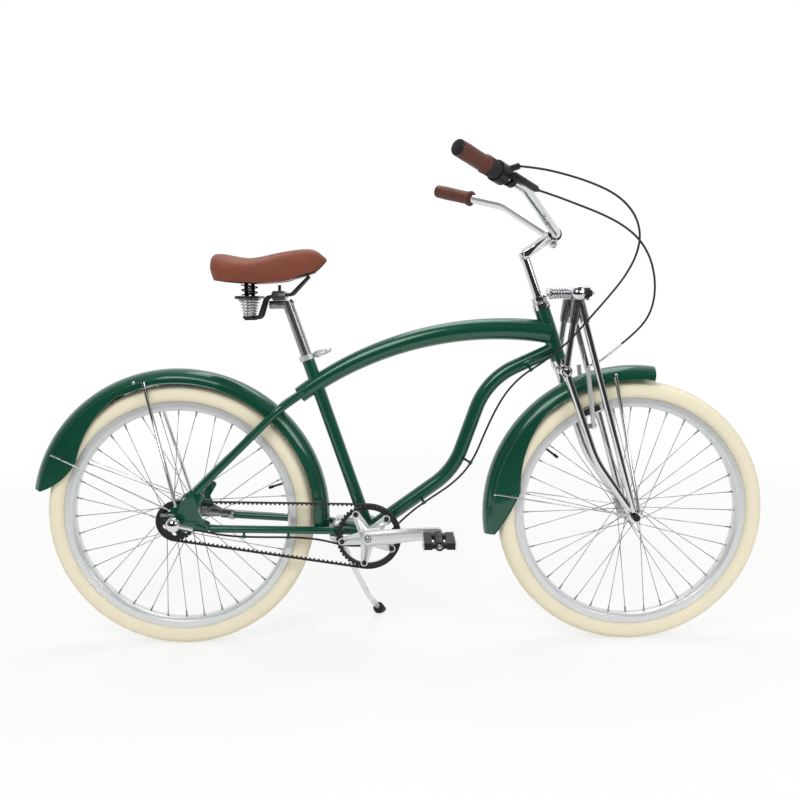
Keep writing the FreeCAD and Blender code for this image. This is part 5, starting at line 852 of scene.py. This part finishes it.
FORK_OFFSET = 54
FORK_YOKE = (978, 882)
FORK_BOSS = (953.4, 695.1)
FORK_KNEE = (1030, 475)
FORK_FOOT = (1112, 357)
AXLE_NUT_DEPTH = 14 * MM
BRAKE_PAD_DEPTH = 12.5 * MM
BOSS_REACH = 12 * MM
END_REACH = 13 * MM
BLADE_RADIUS = 9 * MM
BLADE_BEND = 250 * MM
LEG_RADIUS = 8 * MM
SLEEVE_RADIUS = 11 * MM
COLLAR_RADIUS = 11.6 * MM
SLEEVE_REACHES = np.array([16, 66.5]) * MM
COLLAR_REACHES = np.array([67, 73]) * MM
FORK_SPRING_OFFSET = 21 * MM
FORK_SPRING = dict(foot_radius=12 * MM, top_radius=12 * MM, turns=6.5, dead_share=0.07)


class CRUISER_OT_fork(bpy.types.Operator):
    """Chromed springer fork, its twin springs, perch, rubbers, brake arms and front axle"""
    bl_idname = "cruiser.fork"
    bl_label = "Springer fork"

    def execute(self, context):
        for node in ("fork_crown", "fork_blades", "fork_truss", "spring_perch"):
            dress(node, "chrome_plate")
        dress("spring_bumpers", "black_rubber")
        axle = dress("front_axle", "chrome_plate")
        outer = float(span("front_axle")[1] / 2) - AXLE_NUT_DEPTH
        repaint(axle, "black_powder", lambda at: np.abs(at[:, 1]) > outer)
        for flank in ("left", "right"):
            arm = dress(flank + "_brake_arm", "polished_alloy")
            inner = RIM_HALF + BRAKE_PAD_DEPTH
            repaint(arm, "black_rubber", lambda at: np.abs(at[:, 1]) < inner)
        self.springs(context.scene.cruiser_sizes.spring_wire)
        for flank, side in FLANKS:
            self.tubes(flank * FORK_OFFSET, side)
        return {"FINISHED"}

    def tubes(self, offset, side):
        """One flank's bent blade, and its leg and truss rod below grey sleeves that end in bright collars."""
        top, boss, knee, foot = [place(reach, offset, height) for reach, height
                                 in (FORK_YOKE, FORK_BOSS, FORK_KNEE, FORK_FOOT)]
        axle = FRONT_AXLE + [0, offset * MM, 0]
        blades, truss = NODE_BODY["fork_blades"], NODE_BODY["fork_truss"]
        first = boss + unit(knee - boss) * BOSS_REACH
        blade = bent([first, knee, foot], [BLADE_BEND])
        plated(side + "_blade_plating", blade, BLADE_RADIUS, "chrome_plate", blades)
        for name, end, body in ((side + "_leg", boss, blades), (side + "_rod", axle, truss)):
            down = unit(end - top)
            sleeve_line = top + np.outer(SLEEVE_REACHES, down)
            collar = top + np.outer(COLLAR_REACHES, down)
            plated(name + "_sleeve", sleeve_line, SLEEVE_RADIUS, "drawn_steel", body)
            plated(name + "_collar", collar, COLLAR_RADIUS, "chrome_plate", body)
            rest = np.stack([collar[1], end - down * END_REACH])
            plated(name + "_plating", rest, LEG_RADIUS, "chrome_plate", body)

    def springs(self, wire):
        """Two coils between the perch and the yoke, closing up as the fork swings."""
        low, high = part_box("fork_springs")
        height = (low.z + high.z) / 2
        ends = [((low.x + wire, y, height), (high.x - wire, y, height))
                for y in (-FORK_SPRING_OFFSET, FORK_SPRING_OFFSET)]
        coil = coil_pair("fork_spring_coils", "fork_springs", ends, wire, **FORK_SPRING)
        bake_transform(coil)


# Drive

class CRUISER_OT_drive(bpy.types.Operator):
    """Toothed belt, sprockets, cranks and pedals"""
    bl_idname = "cruiser.drive"
    bl_label = "Drive"

    def execute(self, context):
        dress("drive_belt", "black_rubber", 35)
        dress("front_sprocket", "black_powder")
        dress("rear_sprocket", "black_powder")
        dress("right_crank", "polished_alloy")
        dress("left_crank", "polished_alloy")
        dress("crank_axles", "drawn_steel")
        for flank in ("right", "left"):
            pedal = dress(flank + "_pedal", "moulded_plastic")
            low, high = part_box(flank + "_pedal")
            edge = 5.0 * MM
            repaint(pedal, "polished_alloy",
                    lambda at: (at[:, 0] < low.x + edge) | (at[:, 0] > high.x - edge))
            self.reflectors(flank, low, high)
        return {"FINISHED"}

    def reflectors(self, flank, low, high):
        """A flat prism bar on the front and the back of a pedal, between the teeth of its cage plates."""
        middle_y, middle_z = (low.y + high.y) / 2, (low.z + high.z) / 2
        reach, half_depth, half_height = 24 * MM, 1.5 * MM, 4.5 * MM
        y = np.array([[middle_y - reach], [middle_y + reach]])
        across, up = half_depth * np.array([[-1, -1, 1, 1]]), half_height * np.array([[-1, 1, 1, -1]])
        for x, label in ((low.x, "back"), (high.x, "front")):
            bar = np.stack(np.broadcast_arrays(x + across, y, middle_z + up), -1)
            name = f"{flank}_pedal_{label}_reflector"
            ringed(name, bar, "prism_reflector", flank + "_pedal", (), 30)


# Saddle and post

SEAT_TOP = (322, 0, 732)
SEAT_POST_RADIUS = 13.5 * MM
POST_REACHES = np.array([4, 112]) * MM
SADDLE_SPRING_OFFSET = 45 * MM
SADDLE_SPRING = dict(foot_radius=8 * MM, top_radius=18 * MM, turns=6, dead_share=0.05)
SKIRT_DROP = 3.5 * MM
TAIL_ROUND_SHARE = 0.05
NOSE_ROUND_SHARE = 0.12
HOLLOW_DEPTH = 4 * MM
HOLLOW_FADE = 20 * MM
DISH_DEPTH = 4 * MM
DISH_PLACE_SHARE = 0.30
DISH_LENGTH_SHARE = 0.16
DISH_WIDTH_SHARE = 0.22
END_LEVEL_SHARE = 0.55
BELLY_SHARE = 0.42
TUCK_SHARE = 0.10
UNDER_SHARE = 0.86
TAIL_SLOPE_SHARE = 0.10
TAIL_LEAN_SHARE = 0.09
SADDLE_STATIONS = (0.0, 0.06, 0.17, 0.34, 0.52, 0.70, 0.87, 1.0)
SADDLE_WIDTHS = (0.72, 0.89, 1.0, 0.88, 0.56, 0.37, 0.30, 0.22)
SADDLE_TOPS = ((0.0, 0.82), (0.05, 0.865), (0.10, 0.866), (0.20, 0.82), (0.35, 0.765), (0.45, 0.81),
               (0.55, 0.88), (0.70, 0.963), (0.80, 0.995), (0.88, 0.98), (0.94, 0.90), (1.0, 0.76))
SADDLE_EDGES = ((0.0, 0.09), (0.05, 0.07), (0.20, 0.035), (0.35, 0.005), (0.45, 0.0), (0.55, 0.016),
                (0.66, 0.07), (0.75, 0.18), (0.82, 0.27), (0.88, 0.32), (0.94, 0.43), (1.0, 0.58))


def saddle_grid(low, high):
    """The cushion: sections from tail to nose, wide and dished at the tail, narrow and drooping at the nose.

    A section is a flattened oval above its belly, a skirt that tucks in to a crisp lower edge, and a hollow
    underside. At the tail and the nose the sections shrink along quarter ellipses, the tail's quickly and the
    nose's slowly.
    """
    low = low - [0, 0, SKIRT_DROP]
    size = high - low
    share = 0.5 - 0.5 * np.cos(np.linspace(0, np.pi, 120))
    share = 0.45 * share + 0.55 * np.linspace(0, 1, 120)
    tail = np.sqrt(1 - np.clip(1 - share / TAIL_ROUND_SHARE, 0, 1) ** 2)
    nose = np.sqrt(1 - np.clip(1 - (1 - share) / NOSE_ROUND_SHARE, 0, 1) ** 2)
    half = eased(SADDLE_STATIONS, SADDLE_WIDTHS, share) * size[1] / 2
    half = half * (0.25 + 0.75 * tail) * (0.06 + 0.94 * nose)
    top = eased(*np.array(SADDLE_TOPS).T, share) * size[2]
    edge = eased(*np.array(SADDLE_EDGES).T, share) * size[2]
    level = edge + (top - edge) * END_LEVEL_SHARE
    top = level + (top - level) * np.minimum(0.30 + 0.70 * tail, 0.10 + 0.90 * nose)
    edge = level + (edge - level) * np.minimum(0.75 + 0.25 * tail, 0.10 + 0.90 * nose)
    belly = edge + (top - edge) * BELLY_SHARE
    turn = np.linspace(0, np.pi, 61)[None]
    out = np.sign(np.cos(turn)) * np.abs(np.cos(turn)) ** 0.72
    up = np.sin(turn) ** 0.86
    drop = np.linspace(0, 1, 13)[None, 1:]
    tuck = 1 - TUCK_SHARE * drop ** 2
    under = np.linspace(-UNDER_SHARE, UNDER_SHARE, 13)[None]
    half, belly, edge, top = half[:, None], belly[:, None], edge[:, None], top[:, None]
    hollow = HOLLOW_DEPTH * np.minimum(1, (top - edge) / HOLLOW_FADE) + 0 * under
    across = np.concatenate([half * out, -half * tuck, half * under, (half * tuck)[:, ::-1]], 1)
    height = np.concatenate([belly + (top - belly) * up, belly - (belly - edge) * drop, edge + hollow,
                             (belly - (belly - edge) * drop)[:, ::-1]], 1)
    along = (share[:, None] - DISH_PLACE_SHARE) / DISH_LENGTH_SHARE
    dish = np.exp(-along ** 2) * np.exp(-(across / (DISH_WIDTH_SHARE * size[1])) ** 2)
    height = height - dish * DISH_DEPTH * (height > belly)
    slope = np.clip(1 - share[:, None] / TAIL_SLOPE_SHARE, 0, 1) * np.clip((belly - height) / size[2], 0, 1)
    x = low[0] + size[0] * (share[:, None] + TAIL_LEAN_SHARE * slope)
    return np.stack([x + 0 * across, (low[1] + high[1]) / 2 + across, low[2] + height], -1)


class CRUISER_OT_saddle(bpy.types.Operator):
    """Padded saddle, its pan, springs and rails, and the seat post with its collar"""
    bl_idname = "cruiser.saddle"
    bl_label = "Saddle"

    def execute(self, context):
        low, high = [np.array(corner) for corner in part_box("saddle_cover")]
        cushion = ringed("saddle_cushion", saddle_grid(low, high), "saddle_leather", "saddle",
                         ("saddle_cover",), 60)
        dress("saddle_pan", "black_powder", 40)
        dress("saddle_rails", "black_powder", 40)
        dress("seat_post", "brushed_alloy")
        up = unit(place(*SEAT_TOP) - middle("bottom_bracket_shell"))
        post = place(*SEAT_TOP) + np.outer(POST_REACHES, up)
        plated("seat_post_tube", post, SEAT_POST_RADIUS, "brushed_alloy", NODE_BODY["seat_post"])
        dress("seat_collar", "polished_alloy")
        dress("seat_collar_lever", "polished_alloy")
        self.springs(context.scene.cruiser_sizes.saddle_wire)
        return {"FINISHED"}

    def springs(self, wire):
        """Two conical coils that widen upwards from the rails to the cross plate."""
        low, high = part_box("saddle_springs")
        x = (low.x + high.x) / 2
        ends = [((x, y, low.z + wire), (x, y, high.z - wire))
                for y in (-SADDLE_SPRING_OFFSET, SADDLE_SPRING_OFFSET)]
        coil = coil_pair("saddle_spring_coils", "saddle_springs", ends, wire, **SADDLE_SPRING)
        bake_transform(coil)


# Handlebar and controls

HEAD_TOP = (902, 0, 844.5)
STEM_CORNER = (856.4, 0, 976.9)
BAR_ROOT = (927, 40, 1023.5)
BAR_BEND = (829, 172, 1112)
BAR_END = (668, 336, 1171)
HEADSET_HEIGHT = 24 * MM
CORNER_REACH = 9 * MM
BAR_RADIUS = 11.1 * MM
BAR_BENDS = np.array([85, 34, 34, 85]) * MM
GRIP_PROUD = 4 * MM
PLUG_GAP = 1 * MM
GRIP_LENGTHS = {"left": 124 * MM, "right": 92 * MM}


def along_bar(distance, flank):
    """A point on the bar's straight end, a distance in from its tip; flank is 1 for left, -1 for right."""
    end = place(BAR_END[0], flank * BAR_END[1], BAR_END[2])
    bend = place(BAR_BEND[0], flank * BAR_BEND[1], BAR_BEND[2])
    return end + unit(bend - end) * distance


GRIP_STATIONS = (0.0, 0.012, 0.04, 0.06, 0.30, 0.62, 0.90, 0.925, 0.95, 0.985, 1.0)
GRIP_RADII = (13.5, 16.4, 17.4, 17.2, 17.9, 17.1, 17.3, 18.8, 20.4, 20.4, 19.0)


def grip_grid(start, end):
    """A sleeve round the bar: its radius follows stations along it, with a round tip and an inner flange."""
    share = np.unique(np.concatenate([np.linspace(0, 1, 70), GRIP_STATIONS]))
    radius = np.interp(share, GRIP_STATIONS, GRIP_RADII) * MM
    return lathe(start, end, share, radius, 48)


class CRUISER_OT_handlebar(bpy.types.Operator):
    """Chromed bar and stem, leather grips, twist shifter and brake lever"""
    bl_idname = "cruiser.handlebar"
    bl_label = "Handlebar"

    def execute(self, context):
        dress("stem", "chrome_plate")
        dress("handlebar", "chrome_plate")
        lean = unit(place(*STEM_CORNER) - place(*HEAD_TOP))
        quill = np.stack([place(*HEAD_TOP) + lean * HEADSET_HEIGHT,
                          place(*STEM_CORNER) - lean * CORNER_REACH])
        plated("stem_quill_plating", quill, BAR_RADIUS, "chrome_plate", "steering")
        dress("shifter_body", "moulded_plastic")
        dress("twist_grip", "black_rubber", 25)
        dress("lever_bracket", "moulded_plastic")
        dress("brake_lever", "black_powder")
        bar = [BAR_END, BAR_BEND, BAR_ROOT]
        line = [place(x, -y, z) for x, y, z in bar] + [place(*at) for at in bar[::-1]]
        plated("handlebar_plating", bent(line, BAR_BENDS), BAR_RADIUS, "chrome_plate", "steering",
               beside=(0.0, 0.0, 1.0))
        for flank, side, replaced in ((1, "left", ("grips",)), (-1, "right", ())):
            grid = grip_grid(along_bar(-GRIP_PROUD, flank), along_bar(GRIP_LENGTHS[side], flank))
            grip = ringed(side + "_grip", grid, "grip_leather", "steering", replaced)
            tip = along_bar(0, flank)
            inward = unit(along_bar(1, flank) - tip)
            repaint(grip, "moulded_plastic", lambda at: (at - tip) @ inward < -PLUG_GAP)
        return {"FINISHED"}


# Cables

SHIFT_ROUTE = [(806, -224, 1152), (850, -211, 1150), (906, -194, 1141), (972, -175, 1125),
               (1038, -155, 1100), (1084, -135, 1062), (1106, -115, 1016), (1102, -99, 968),
               (1077, -97, 920), (1041, -91, 873), (1002, -84, 826), (965, -76, 781), (929, -62, 743),
               (891, -45, 712), (850, -33, 684), (812, -31, 644), (783, -30, 594), (759, -29, 540),
               (738, -29, 488), (712, -30, 446), (676, -31, 412), (632, -32, 383), (586, -32, 352),
               (544, -32, 314), (506, -31, 275), (462, -30, 257), (412, -32, 258), (356, -41, 277),
               (300, -51, 287), (246, -57, 290), (190, -61, 292), (140, -66, 296), (104, -75, 304),
               (74, -85, 314), (48, -90, 321)]
BRAKE_ROUTE = [(853, -197, 1105), (896, -186, 1093), (946, -171, 1077), (999, -155, 1060),
               (1052, -138, 1038), (1098, -121, 1008), (1130, -106, 968), (1148, -92, 922),
               (1154, -80, 874), (1146, -68, 828), (1120, -58, 790), (1086, -50, 760)]
BRAKE_TUBE = [(1086, -50, 760), (1056, -44, 733), (1034, -37, 714), (1018, -26, 707)]


def sleeve(name, route, radius):
    """A round sleeve on one smooth spline with the route's points as its control points, as a mesh."""
    curve = bpy.data.curves.new(name, "CURVE")
    curve.dimensions = "3D"
    spline = curve.splines.new("NURBS")
    spline.points.add(len(route) - 1)
    points = np.array([[*place(*at), 1.0] for at in route])
    spline.points.foreach_set("co", points.ravel())
    spline.order_u = 3
    spline.use_endpoint_u = True
    spline.resolution_u = 8
    curve.bevel_depth = radius
    curve.bevel_resolution = 4
    curve.use_fill_caps = True
    holder = bpy.data.objects.new(name, curve)
    made = bpy.data.meshes.new_from_object(holder)
    bpy.data.objects.remove(holder)
    bpy.data.curves.remove(curve)
    return made


class CRUISER_OT_cables(bpy.types.Operator):
    """Shift and brake cables, held by the bars, the frame and the brake"""
    bl_idname = "cruiser.cables"
    bl_label = "Cables"

    def execute(self, context):
        radius = context.scene.cruiser_sizes.cable
        shift = sleeve("shift_cable_sleeve", SHIFT_ROUTE, radius)
        shift = piece("shift_cable_sleeve", shift, "cable_sleeve", None, ("shift_cable",))
        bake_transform(shift)
        brake = sleeve("brake_cable_sleeve", BRAKE_ROUTE, radius)
        piece("brake_cable_sleeve", brake, "cable_sleeve", "steering", ("brake_cable",))
        piece("brake_noodle", sleeve("brake_noodle", BRAKE_TUBE, 1.2 * radius), "chrome_plate", "steering")
        return {"FINISHED"}


# Kickstand

class CRUISER_OT_kickstand(bpy.types.Operator):
    """Plated kickstand leg with a rubber foot, and its bracket"""
    bl_idname = "cruiser.kickstand"
    bl_label = "Kickstand"

    def execute(self, context):
        dress("kickstand_bracket", "polished_alloy")
        leg = dress("kickstand_leg", "chrome_plate")
        foot_height = 32 * MM
        repaint(leg, "black_rubber", lambda at: at[:, 2] < foot_height)
        return {"FINISHED"}


# Stage

CAMERA_REACH = (533.7, -1959.8, 879.2)
CAMERA_YAW = 0.00912
CAMERA_PITCH = -0.12076
CAMERA_ROLL = -0.00684
FOCAL_PIXELS = 793.6
FRAME_PIXELS = 800
PRINCIPAL_ROW = 392
SENSOR_WIDTH = 36
FLOOR_REACH = 30.0
FLOOR_FRONT = -1.6
FLOOR_NEAR = 0.9
FLOOR_FAR = 3.0
FLOOR_NEAR_GLOW = 0.72
WALL_HEADINGS = (-0.45, 0.5)
FRONT_LEVEL = 0.04
ROOM_LEVEL = 0.50
LAMP_AIM = Vector((0, 0, 0.55))
# Each lamp has its name, its place, its power in watts and its width
LAMPS = (("key_panel", (-1.2, -2.6, 3.0), 52, 1.8), ("fill_panel", (2.4, -2.2, 2.2), 26, 1.4),
         ("top_panel", (0.2, 0.8, 3.6), 44, 2.2))


def plain_rays(tree):
    """One for a ray from the eye, seen directly, in metal or through glass; nought for the rest."""
    rays = put(tree, "ShaderNodeLightPath")
    metal_too = put(tree, "ShaderNodeMath", {0: rays.outputs["Is Camera Ray"],
                                             1: rays.outputs["Is Glossy Ray"]}, operation="MAXIMUM")
    return put(tree, "ShaderNodeMath", {0: metal_too.outputs[0], 1: rays.outputs["Is Transmission Ray"]},
               operation="MAXIMUM").outputs[0]


class CRUISER_OT_stage(bpy.types.Operator):
    """Pale floor, soft studio light and the camera"""
    bl_idname = "cruiser.stage"
    bl_label = "Stage"

    def execute(self, context):
        self.floor(context)
        self.light(context)
        self.camera(context)
        context.scene.view_settings.view_transform = "Standard"
        return {"FINISHED"}

    def floor(self, context):
        """A wide flat floor; to the camera it is near white, and it keeps the bicycle's faint shadow."""
        reach, front = FLOOR_REACH, FLOOR_FRONT
        corners = np.array([[-reach, front, 0], [reach, front, 0], [reach, reach, 0], [-reach, reach, 0]])
        mesh = mesh_of("studio_floor", corners, np.array([[0, 1, 2, 3]]))
        floor = bpy.data.objects.new("studio_floor", mesh)
        context.scene.collection.objects.link(floor)
        look = bpy.data.materials.new("pale_floor")
        look.use_nodes = True
        tree = look.node_tree
        shader = tree.nodes["Principled BSDF"]
        set_inputs(tree, shader, Base_Color=context.scene.cruiser_colours.floor, Roughness=0.9,
                   Specular_IOR_Level=0.1)
        at = put(tree, "ShaderNodeTexCoord")
        away = put(tree, "ShaderNodeVectorMath", {0: at.outputs["Object"]}, operation="LENGTH")
        bright = put(tree, "ShaderNodeMapRange", {"Value": away.outputs["Value"], "From Min": FLOOR_NEAR,
                                                  "From Max": FLOOR_FAR, "To Min": FLOOR_NEAR_GLOW,
                                                  "To Max": 1.0})
        seen = put(tree, "ShaderNodeMath", {0: plain_rays(tree), 1: bright.outputs[0]}, operation="MULTIPLY")
        glow = put(tree, "ShaderNodeEmission", {"Color": (1.0, 1.0, 1.0, 1.0), "Strength": 1.0})
        mix = put(tree, "ShaderNodeMixShader", {0: seen.outputs[0], 1: shader.outputs[0], 2: glow.outputs[0]})
        tree.links.new(mix.outputs[0], tree.nodes["Material Output"].inputs["Surface"])
        mesh.materials.append(look)

    def light(self, context):
        """A room that is white to the eye; metal sees a white wall behind and a dimmer room in front."""
        world = bpy.data.worlds.new("studio")
        context.scene.world = world
        world.use_nodes = True
        tree = world.node_tree
        back = tree.nodes["Background"]
        set_inputs(tree, back, Color=(1.0, 1.0, 1.0, 1.0))
        at = put(tree, "ShaderNodeTexCoord")
        parts = put(tree, "ShaderNodeSeparateXYZ", {"Vector": at.outputs["Generated"]})
        wall = put(tree, "ShaderNodeMapRange", {"Value": parts.outputs["Y"], "From Min": WALL_HEADINGS[0],
                                                "From Max": WALL_HEADINGS[1], "To Min": FRONT_LEVEL,
                                                "To Max": 1.0})
        level = put(tree, "ShaderNodeMix", {"Factor": plain_rays(tree), 2: ROOM_LEVEL, 3: wall.outputs[0]})
        rays = put(tree, "ShaderNodeLightPath")
        seen = put(tree, "ShaderNodeMath", {0: level.outputs[0], 1: rays.outputs["Is Camera Ray"]},
                   operation="MAXIMUM")
        tree.links.new(seen.outputs[0], back.inputs["Strength"])
        for name, spot, power, width in LAMPS:
            lamp = bpy.data.lights.new(name, "AREA")
            lamp.energy = power
            lamp.size = width
            holder = bpy.data.objects.new(name, lamp)
            holder.location = spot
            holder.rotation_euler = (LAMP_AIM - Vector(spot)).to_track_quat("-Z", "Y").to_euler()
            context.scene.collection.objects.link(holder)

    def camera(self, context):
        """A camera at the photograph's place, aimed by yaw, pitch and roll; its lens is a focal length."""
        yaw, pitch, roll = CAMERA_YAW, CAMERA_PITCH, CAMERA_ROLL
        ahead = Vector((math.sin(yaw) * math.cos(pitch), math.cos(yaw) * math.cos(pitch), math.sin(pitch)))
        level = Vector((math.cos(yaw), -math.sin(yaw), 0))
        above = level.cross(ahead)
        right = math.cos(roll) * level + math.sin(roll) * above
        upright = -math.sin(roll) * level + math.cos(roll) * above
        camera = bpy.data.cameras.new("photo_camera")
        camera.sensor_width = SENSOR_WIDTH
        camera.lens = SENSOR_WIDTH * FOCAL_PIXELS / FRAME_PIXELS
        camera.shift_y = (PRINCIPAL_ROW - FRAME_PIXELS / 2) / FRAME_PIXELS
        camera.clip_end = 100
        holder = bpy.data.objects.new("photo_camera", camera)
        turn = Matrix((right, upright, -ahead)).transposed()
        holder.matrix_world = Matrix.Translation(place(*CAMERA_REACH)) @ turn.to_4x4()
        context.scene.collection.objects.link(holder)
        context.scene.camera = holder


OPERATORS = (CRUISER_OT_tyres, CRUISER_OT_rims, CRUISER_OT_frame, CRUISER_OT_mudguards, CRUISER_OT_fork,
             CRUISER_OT_drive, CRUISER_OT_saddle, CRUISER_OT_handlebar, CRUISER_OT_cables,
             CRUISER_OT_kickstand, CRUISER_OT_stage)


class CRUISER_PT_panel(bpy.types.Panel):
    """Buttons for the bicycle's pieces"""
    bl_label = "Cruiser bicycle"
    bl_space_type = "VIEW_3D"
    bl_region_type = "UI"
    bl_category = "Cruiser"

    def draw(self, context):
        for operator in OPERATORS:
            self.layout.operator(operator.bl_idname)


CLASSES = (CruiserColours, CruiserSizes, *OPERATORS, CRUISER_PT_panel)


def register():
    for one in CLASSES:
        bpy.utils.register_class(one)
    bpy.types.Scene.cruiser_colours = PointerProperty(type=CruiserColours)
    bpy.types.Scene.cruiser_sizes = PointerProperty(type=CruiserSizes)


def unregister():
    del bpy.types.Scene.cruiser_sizes
    del bpy.types.Scene.cruiser_colours
    for one in reversed(CLASSES):
        bpy.utils.unregister_class(one)


def main():
    register()
    for operator in OPERATORS:
        group, name = operator.bl_idname.split(".")
        getattr(getattr(bpy.ops, group), name)()


if __name__ == "__main__":
    main()
